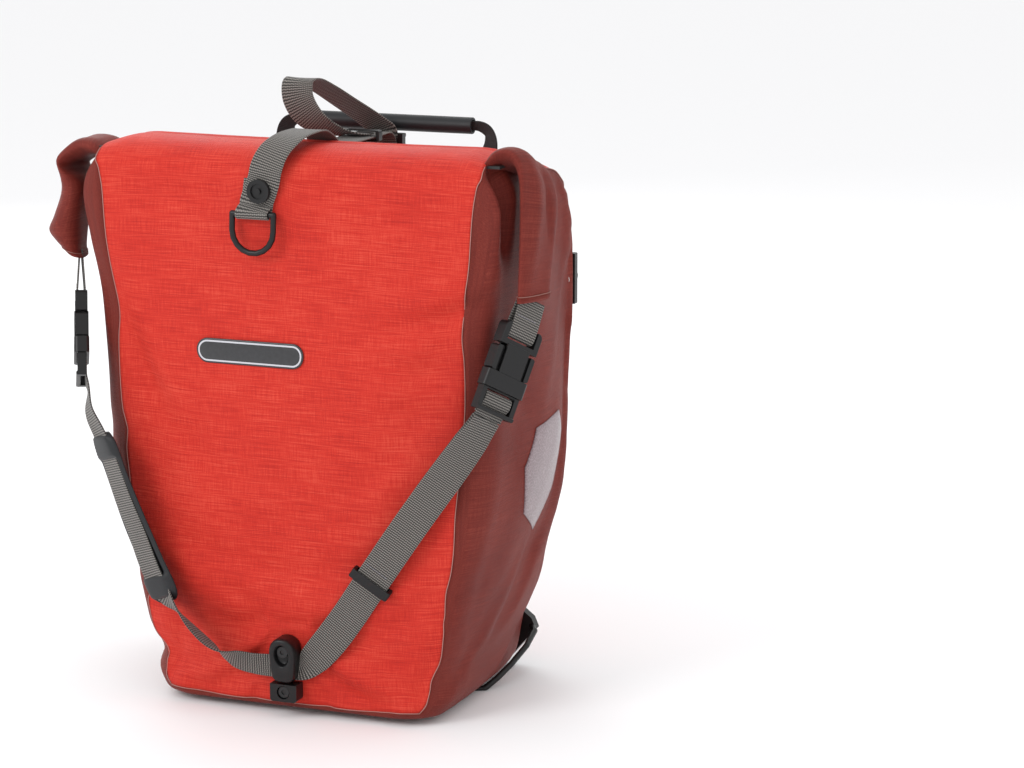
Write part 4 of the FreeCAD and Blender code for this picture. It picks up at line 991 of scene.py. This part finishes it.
# the webbing round the bar of a buckle's plug, along the buckle's outward axis and its length
BAR_TURN = [(-1.9, 27.3), (-0.1, 26.6), (1.7, 27.3), (2.4, 29), (2.4, 33.5), (1.1, 36)]
plug_wrap = [(-3.0, 40), (-2.7, 34), (-2.7, 29)] + BAR_TURN + [(-0.6, 38.5), (-1.4, 42)]
line = [(np.array(c, float), n) for c, n in left_line + hook_line]
line += [(np.array(c, float) - n * LAYER, n) for c, n in right_line]
widths = [WEB] * len(left_line) + [19.0] + [17.0] * 2 + [WEB - 2] + [WEB] * len(right_line)
for i, (py, pz) in enumerate(plug_wrap):
    before, after = plug_wrap[max(i - 1, 0)], plug_wrap[min(i + 1, len(plug_wrap) - 1)]
    n = SIDE_OUT * (after[1] - before[1]) - SIDE_DIR * (after[0] - before[0])
    line.append((buckle_point(py, pz), n / np.linalg.norm(n)))
    widths.append(WEB)
for c, n in reversed(right_line[2:]):
    line.append((np.array(c, float) + n * 1.25, -n))
    widths.append(WEB)
tape("shoulder_webbing", [c for c, n in line], [n for c, n in line], widths, WEB_T, GREY_WEB,
     ("shoulder_strap", "shoulder_strap_tail"), BAG, 1.5, 0.3, 3)


def shoulder_pad():
    """A soft rubber band behind the webbing, with raised rims, and a rounded bridge over it at each end."""
    stations = [((-143.5, -97.7, 202), -41), ((-141.5, -97.6, 196), -41), ((-131, -98.2, 168), -37),
                ((-120, -98, 140), -33), ((-108, -97.4, 112), -31), ((-96.5, -96.1, 84), -30),
                ((-94.2, -95.8, 78.6), -30)]
    rows, at = spline([(*c, math.radians(deg)) for c, deg in stations], 1.2)
    total, reach = at[-1], 46
    tops = np.linspace(-1, 1, reach)
    verts, data = [], []
    for k, row in enumerate(rows):
        c, n = row[:3], facing(math.degrees(row[3]))
        along = rows[min(k + 1, len(rows) - 1)][:3] - rows[max(k - 1, 0)][:3]
        along /= np.linalg.norm(along)
        across = np.cross(along, n)
        across /= np.linalg.norm(across)
        end = min(at[k], total - at[k])
        rounded = (1 - (1 - min(1.0, (end + 0.4) / 11.0)) ** 2.4) ** (1 / 2.4)
        half = (16.4 + 2.0 * bell(end - 14, 12.0)) * (0.35 + 0.65 * rounded)
        over = 1 / (1 + math.exp((end - 21.0) / 0.9)) - 1 / (1 + math.exp((end - 2.6) / 0.5))
        rib = 0.35 * math.cos(end * math.pi / 2.6) ** 2 * (4 < end < 19)
        section = []
        for w in tops:
            rim = 1.9 * bell(abs(w) * half - half + 2.4, 1.7)
            crown = (3.1 + rib - 1.1 * w * w) * over
            edge = (1 - abs(w) ** 9)
            height = -1.6 + rim * (1 - over) + (crown + 1.6) * over
            section.append((w * half, height * edge - 2.2 * (1 - edge)))
        under = [(w * half * 0.985, -4.6 + 1.6 * abs(w) ** 6) for w in np.linspace(0.97, -0.97, 20)]
        for w, h in section + under:
            verts.append(tuple(c + across * w + n * h))
            data.append((w, at[k], 8.0))
    faces = tube_faces(len(rows), reach + 20)
    add_piece("shoulder_pad_rubber", verts, faces, RUBBER, ("shoulder_pad",), BAG, "weave", data)


shoulder_pad()

UNDER_Y, OVER_Y, BAR_Y, BAR_Z = FRONT_Y - 1.0, FRONT_Y - 2.5, FRONT_Y - 4.6, 368.0
by, bz = BUCKLE_BACK[1], BUCKLE_BACK[2]
BAR_WRAP = 3.3      # radius of the webbing round the D-ring's bar
top_path = [(-16.5, UNDER_Y, 391.0), (-19.5, UNDER_Y, 373.5)]
for degrees in range(0, 226, 45):
    a = math.radians(degrees)
    top_path.append((-21.0, BAR_Y + BAR_WRAP * math.cos(a), BAR_Z - BAR_WRAP * math.sin(a)))
top_path += [(-19.9, OVER_Y - 1.3, 373.3), (-19.5, OVER_Y, 375.6), (-13.5, OVER_Y, 391), (-11, -86.6, 402),
             (-7, -81.5, 412.9), (-2, -67.5, 421.0), (0, -50, 423.0), (0, -33, 421.7), (0, -19, 415.6),
             (0, -6.5, 408.4),
             (0, 20, 407.4), (0, 45, 407.2), (0, 68, 407.0), (0, 84, 406.3), (0, 89.8, 402.5)]
rear_wrap = [(-2.6, 34), (-2.6, 29)] + BAR_TURN + [(-0.3, 38.5), (-0.3, 42)]
top_path += [(0, by + py, bz + pz) for py, pz in rear_wrap]
top_path += [(-3, 90.5, 411), (-10, 83, 419), (-20, 69, 430), (-29, 53, 441.5), (-34.5, 41, 448.5),
             (-37, 34, 450.5), (-38.5, 28.5, 449.6), (-38.5, 25.5, 445), (-37, 24, 437), (-32, 25, 427),
             (-24, 29, 418.5),
             (-13, 36.5, 412.6),
             (-4.2, 43.2, 410.3), (-1, 50, 409.5), (-0.8, 57, 409.4)]
top_widths = [WEB] * (len(top_path) - 4) + [23.0, 20.5, 20.0, 20.0]
tape("top_webbing", top_path, path_normals(top_path), top_widths, WEB_T, GREY_WEB,
     ("top_strap",), BAG, 1.2, 0.12, 5)

tab_half = [(-0.9, -44.0), (-2.8, -26.0), (-3.0, -18.5), (-2.6, -15.9), (-1.3, -14.3)]
tab_path = tab_half + [(-py, pz) for py, pz in reversed(tab_half)]
LEFT_TAB_EXTRA = 12.0    # the left tab reaches this much further into its hem
for word, mirror in (("right", np.ones(3)), ("left", MIRROR)):
    centres, faces_to = [], []
    for i, (py, pz) in enumerate(tab_path):
        before, after = tab_path[max(i - 1, 0)], tab_path[min(i + 1, len(tab_path) - 1)]
        n = SIDE_DIR * (after[0] - before[0]) - SIDE_OUT * (after[1] - before[1])
        if word == "left" and i in (0, len(tab_path) - 1):
            pz -= LEFT_TAB_EXTRA
        centres.append(buckle_point(py, pz) * mirror)
        faces_to.append(n / np.linalg.norm(n) * mirror)
    tape(f"tab_webbing_{word}", centres, faces_to, 24.4, 1.2, GREY_WEB, (f"{word}_end_tab",),
         BAG, 1.2, 0.0, 7)

anchor = [(86.05, 276.0), (86.05, 326.0), (88.6, 338.0), (91.2, 345.0), (91.9, 348.0), (93.3, 349.9),
          (95.7, 349.9), (97.2, 348.0), (97.4, 343.0), (94.0, 336.0), (88.6, 330.0), (87.6, 326.0)]
anchor = [(0, *yz) for yz in anchor]
tape("anchor_webbing", anchor, path_normals(anchor), WEB, 1.2, BLACK_WEB, ("anchor_strap",),
     BAG, 1.2, 0.0, 9)

for word, sign in (("right", 1), ("left", -1)):
    side = np.array([sign, 1.0, 1.0])
    leg = [(56, 104.2, 412.0), (68, 104.2, 412.0), (76, 104.2, 411.4), (82.5, 103.9, 407.5),
           (84.5, 103.4, 400.0), (82.5, 102.2, 389.0), (78.5, 100.2, 376.0), (74.5, 98.0, 364.0),
           (72.0, 96.4, 354.5)]
    turns = [(0, 1, 0.1), (0, 1, 0.1), (0.1, 1, 0.3), (0.5, 1, 0.3), (0.55, 1, 0.05), (0.3, 1, 0.1),
             (0.1, 1, 0.15), (0, 1, 0.16), (0, 1, 0.16)]
    tape(f"handle_webbing_{word}", [np.array(q) * side for q in leg],
         [np.array(t) / np.linalg.norm(t) * side for t in turns], [6.5, 7.0, 9.0, 12.0, 14.5, 15, 15, 15, 15],
         WEB_T, BLACK_WEB, (f"handle_leg_{word}",), f"handle_leg_{word}", 1.2, 0.25, 13)


def strap_hook():
    """The rounded hook that the shoulder strap is slipped under, with an oval recess for its screw."""
    outline = [(0, 27.4), (4.5, 27.6), (7.6, 29.4), (8.8, 33), (9.6, 39), (10.2, 46), (9.9, 52), (8.2, 57),
               (4.6, 60.2), (0, 61.0)]
    loop = outline + [(-px, pz) for px, pz in outline[-2:0:-1]]
    ring, _ = spline([(px, pz, 0.0) for px, pz in loop + loop[:1]], 1.3)
    ring = ring[:-1]
    mid_z = 44.5
    middle = np.array([0.0, mid_z])
    rings = []
    for inset, depth in ((0.0, -86.4), (0.0, -96.6), (0.25, -98.0), (0.9, -99.2), (1.9, -99.8)):
        rows = []
        for px, pz, _ in ring:
            away = np.array([px, pz]) - middle
            scale = 1 - inset / np.linalg.norm(away)
            q = middle + away * scale
            lean = 0.10 * (mid_z - q[1]) * (depth < -90)
            rows.append((q[0], depth + lean, q[1]))
        rings.append(rows)
    for scale, depth in ((1.14, -99.7), (1.04, -99.3), (0.98, -98.2), (0.93, -95.2), (0.86, -94.4),
                         (0.4, -94.3)):
        rows = []
        for px, pz, _ in ring:
            turn = math.atan2(pz - mid_z, px)
            q = (5.6 * math.cos(turn) * scale, 48.2 + 8.0 * math.sin(turn) * scale)
            rows.append((q[0], depth + 0.10 * (mid_z - q[1]), q[1]))
        rings.append(rows)
    verts = [q for rows in rings for q in rows]
    faces = tube_faces(len(rings), len(ring))
    add_piece("strap_hook_body", verts, faces, PLASTIC, ("strap_hook",), BAG)


strap_hook()


# ---- badge and reflectors follow the fabric -----------------------------------------------------
def surface_y(xq, zq):
    """Front surface height under a point, from the finished skin."""
    mask = (VERTS[:, 1] < -70) & (VERTS[:, 2] < 405)
    pts, val = VERTS[mask], SKIN[mask]
    d = (pts[:, 0] - xq) ** 2 + (pts[:, 2] - zq) ** 2
    near = np.argsort(d)[:6]
    w = 1 / (d[near] + 1e-3)
    return float((val[near, 1] * w).sum() / w.sum())


def tag():
    """A flat dark tag with round ends that follows the front."""
    cx, cz, hx, hz, r, thick = -26.5, 267.0, 42.0, 9.0, 8.6, 1.0
    corners = [(hx - r, hz - r, 0), (-hx + r, hz - r, 90), (-hx + r, -hz + r, 180), (hx - r, -hz + r, 270)]
    outline = [(px + r * math.cos(math.radians(a0 + a)), pz + r * math.sin(math.radians(a0 + a)))
               for px, pz, a0 in corners for a in np.linspace(0, 90, 10)]
    rings = [(0.0, 0.0), (0.0, thick * 0.7)]
    rings += [(inset, thick) for inset in (0.4, 1.0, 1.5, 2.0, 2.7, 3.2, 5.0, 7.0, 8.4)]
    verts, data = [], []
    for inset, lift in rings:
        for px, pz in outline:
            k = min(1.0, inset / r)
            base_x = min(max(px, -hx + r), hx - r)
            base_z = min(max(pz, -hz + r), hz - r)
            qx, qz = px + (base_x - px) * k, pz + (base_z - pz) * k
            y_here = surface_y(cx + qx, cz + qz)
            verts.append((cx + qx, y_here - lift - 0.12, cz + qz))
            data.append((qx, qz, inset / 8.4 * 1000))
    count = len(outline)
    faces = tube_faces(len(rings), count, False)
    faces.append(tuple(range((len(rings) - 1) * count, len(rings) * count)))
    add_piece("blank_badge", verts, faces, TAG, ("badge",), BAG, "weave", data)


tag()


REFLECTOR_Y, REFLECTOR_Z = 14, 170


def reflector(sign):
    """A film that follows the gusset, with its edges turned in."""
    outline = [(-34, 14), (-16, 40), (30, 44), (38, 28), (34, -14), (6, -42), (-26, -22)]
    word = "right" if sign > 0 else "left"
    pts = []
    for (ay, az), (ny, nz) in zip(outline, outline[1:] + outline[:1]):
        for t in np.linspace(0, 1, 12, endpoint=False):
            pts.append((ay + (ny - ay) * t, az + (nz - az) * t))
    vx, vy, vz = VERTS.T
    mask = (vx * sign > 110) & (vy > -60) & (vy < 80) & (vz > 90) & (vz < 250)
    cloud, skin = VERTS[mask], SKIN[mask]
    cn = vertex_normals(SKIN, shell.faces)[mask]

    def on_side(yq, zq, lift):
        d = (cloud[:, 1] - yq) ** 2 + (cloud[:, 2] - zq) ** 2
        near = np.argsort(d)[:12]
        w = np.exp(-d[near] / 18.0)
        w /= w.sum()
        base = np.array([(skin[near, 0] * w).sum(), yq, zq])
        return base + (cn[near] * w[:, None]).sum(0) * lift

    verts, data = [], []
    steps = [(1.0, 0.0), (1.0, 0.75), (0.985, 0.95)] + [(k / 10, 0.95) for k in range(9, 0, -1)]
    for scale, lift in steps:
        for py, pz in pts:
            q = on_side(REFLECTOR_Y + (py - 2) * scale, REFLECTOR_Z + pz * scale, lift)
            verts.append(q)
            data.append((py * scale, pz * scale, 11.0))
    count = len(pts)
    faces = tube_faces(len(steps), count, False)
    faces.append(tuple(range((len(steps) - 1) * count, len(steps) * count)))
    if sign > 0:
        faces = [f[::-1] for f in faces]
    add_piece(f"reflector_film_{word}", verts, faces, FILM, (f"reflector_{word}",),
              BAG, "weave", data)


reflector(1)
reflector(-1)

# ---- stitching ----------------------------------------------------------------------------------
for word, mirror in (("right", np.ones(3)), ("left", MIRROR)):
    across = np.cross(SIDE_OUT, SIDE_DIR)
    pts = [(buckle_point(3.25, -30) + across * k) * mirror for k in (-10, -5, 0, 5, 10)]
    stitches(f"tab_stitches_{word}", pts, SIDE_OUT * mirror)
c, n = np.array(right_line[2][0], float), right_line[2][1]
run = np.array(right_line[3][0], float) - c
run /= np.linalg.norm(run)
across = np.cross(run, n)
pts = [c + run * 14 + n * 2.0 + across * k for k in (-10, -5, 0, 5, 10)]
stitches("shoulder_stitches", pts, n)

# ---- finish the carried-over CAD pieces ---------------------------------------------------------
BY_SLOT = {"red_fabric": RED, "dark_fabric": BRICK, "grey_webbing": GREY_WEB, "black_webbing": BLACK_WEB,
           "black_plastic": PLASTIC, "grey_plastic": GREY_PLASTIC, "black_screw": SCREW, "steel": STEEL,
           "rubber": RUBBER, "reflector": FILM, "badge": TAG, "inner_board": BOARD}
# how far each kind of part has its edges softened
EDGE = {"black_plastic": 0.5, "grey_plastic": 0.5, "rubber": 0.6, "black_screw": 0.25, "steel": 0.2,
        "black_webbing": 0.3}
for item in frame["record"]["subparts"]:
    name, slot_name = item["node"], item["material_slot"]
    node = frame["nodes"][name]
    node.data.materials.clear()
    node.data.materials.append(BY_SLOT[slot_name])
    if node.hide_render or slot_name not in EDGE:
        continue
    weld = node.modifiers.new("weld", "WELD")
    weld.merge_threshold = 1e-6
    bevel = node.modifiers.new("edge", "BEVEL")
    bevel.width = EDGE[slot_name] * MM
    bevel.segments = 2
    bevel.limit_method = "ANGLE"
    bevel.angle_limit = math.radians(34)
    node.data.polygons.foreach_set("use_smooth", [True] * len(node.data.polygons))
    node.modifiers.new("normals", "WEIGHTED_NORMAL")

# ---- floor, light and camera --------------------------------------------------------------------
bpy.ops.mesh.primitive_plane_add(size=14, location=(0, 0, -0.0004))
floor = bpy.context.object
floor.name = "floor"
n = Nodes("floor")
n.set("Base Color", (0.93, 0.93, 0.94, 1.0))
n.set("Roughness", 0.9)
n.set("Specular IOR Level", 0.05)
floor.data.materials.append(n.material)

world = bpy.data.worlds.new("studio")
bpy.context.scene.world = world
world.use_nodes = True
world.node_tree.nodes["Background"].inputs[0].default_value = (1.0, 1.0, 1.0, 1.0)
world.node_tree.nodes["Background"].inputs[1].default_value = 1.0


def area_light(name, place, target, energy, size):
    light = bpy.data.lights.new(name, "AREA")
    light.shape = "RECTANGLE"
    light.size, light.size_y = size
    light.energy = energy
    obj = bpy.data.objects.new(name, light)
    obj.location = place
    obj.rotation_euler = (Vector(target) - Vector(place)).to_track_quat("-Z", "Y").to_euler()
    bpy.context.scene.collection.objects.link(obj)


area_light("key", (-0.9, -1.6, 1.3), (0, 0, 0.22), 15, (0.9, 0.8))
area_light("fill", (1.9, -0.9, 0.9), (0, 0, 0.2), 2.5, (1.0, 1.4))
area_light("top", (0.1, 0.4, 2.0), (0, 0, 0.3), 3.5, (1.6, 1.2))
area_light("back", (-1.2, 1.6, 1.2), (0, 0, 0.3), 8, (1.2, 1.2))

SENSOR = 36.0
LENS_PER_SENSOR = 2.97138671875
camera_data = bpy.data.cameras.new("camera")
camera_data.sensor_width = SENSOR
camera_data.lens = LENS_PER_SENSOR * SENSOR
camera = bpy.data.objects.new("camera", camera_data)
camera.location = (0.904, -2.010, 0.696)
camera.rotation_euler = (math.pi / 2 - 0.209, 0.0, 0.363)
bpy.context.scene.collection.objects.link(camera)
bpy.context.scene.camera = camera
bpy.context.scene.view_settings.view_transform = "Standard"
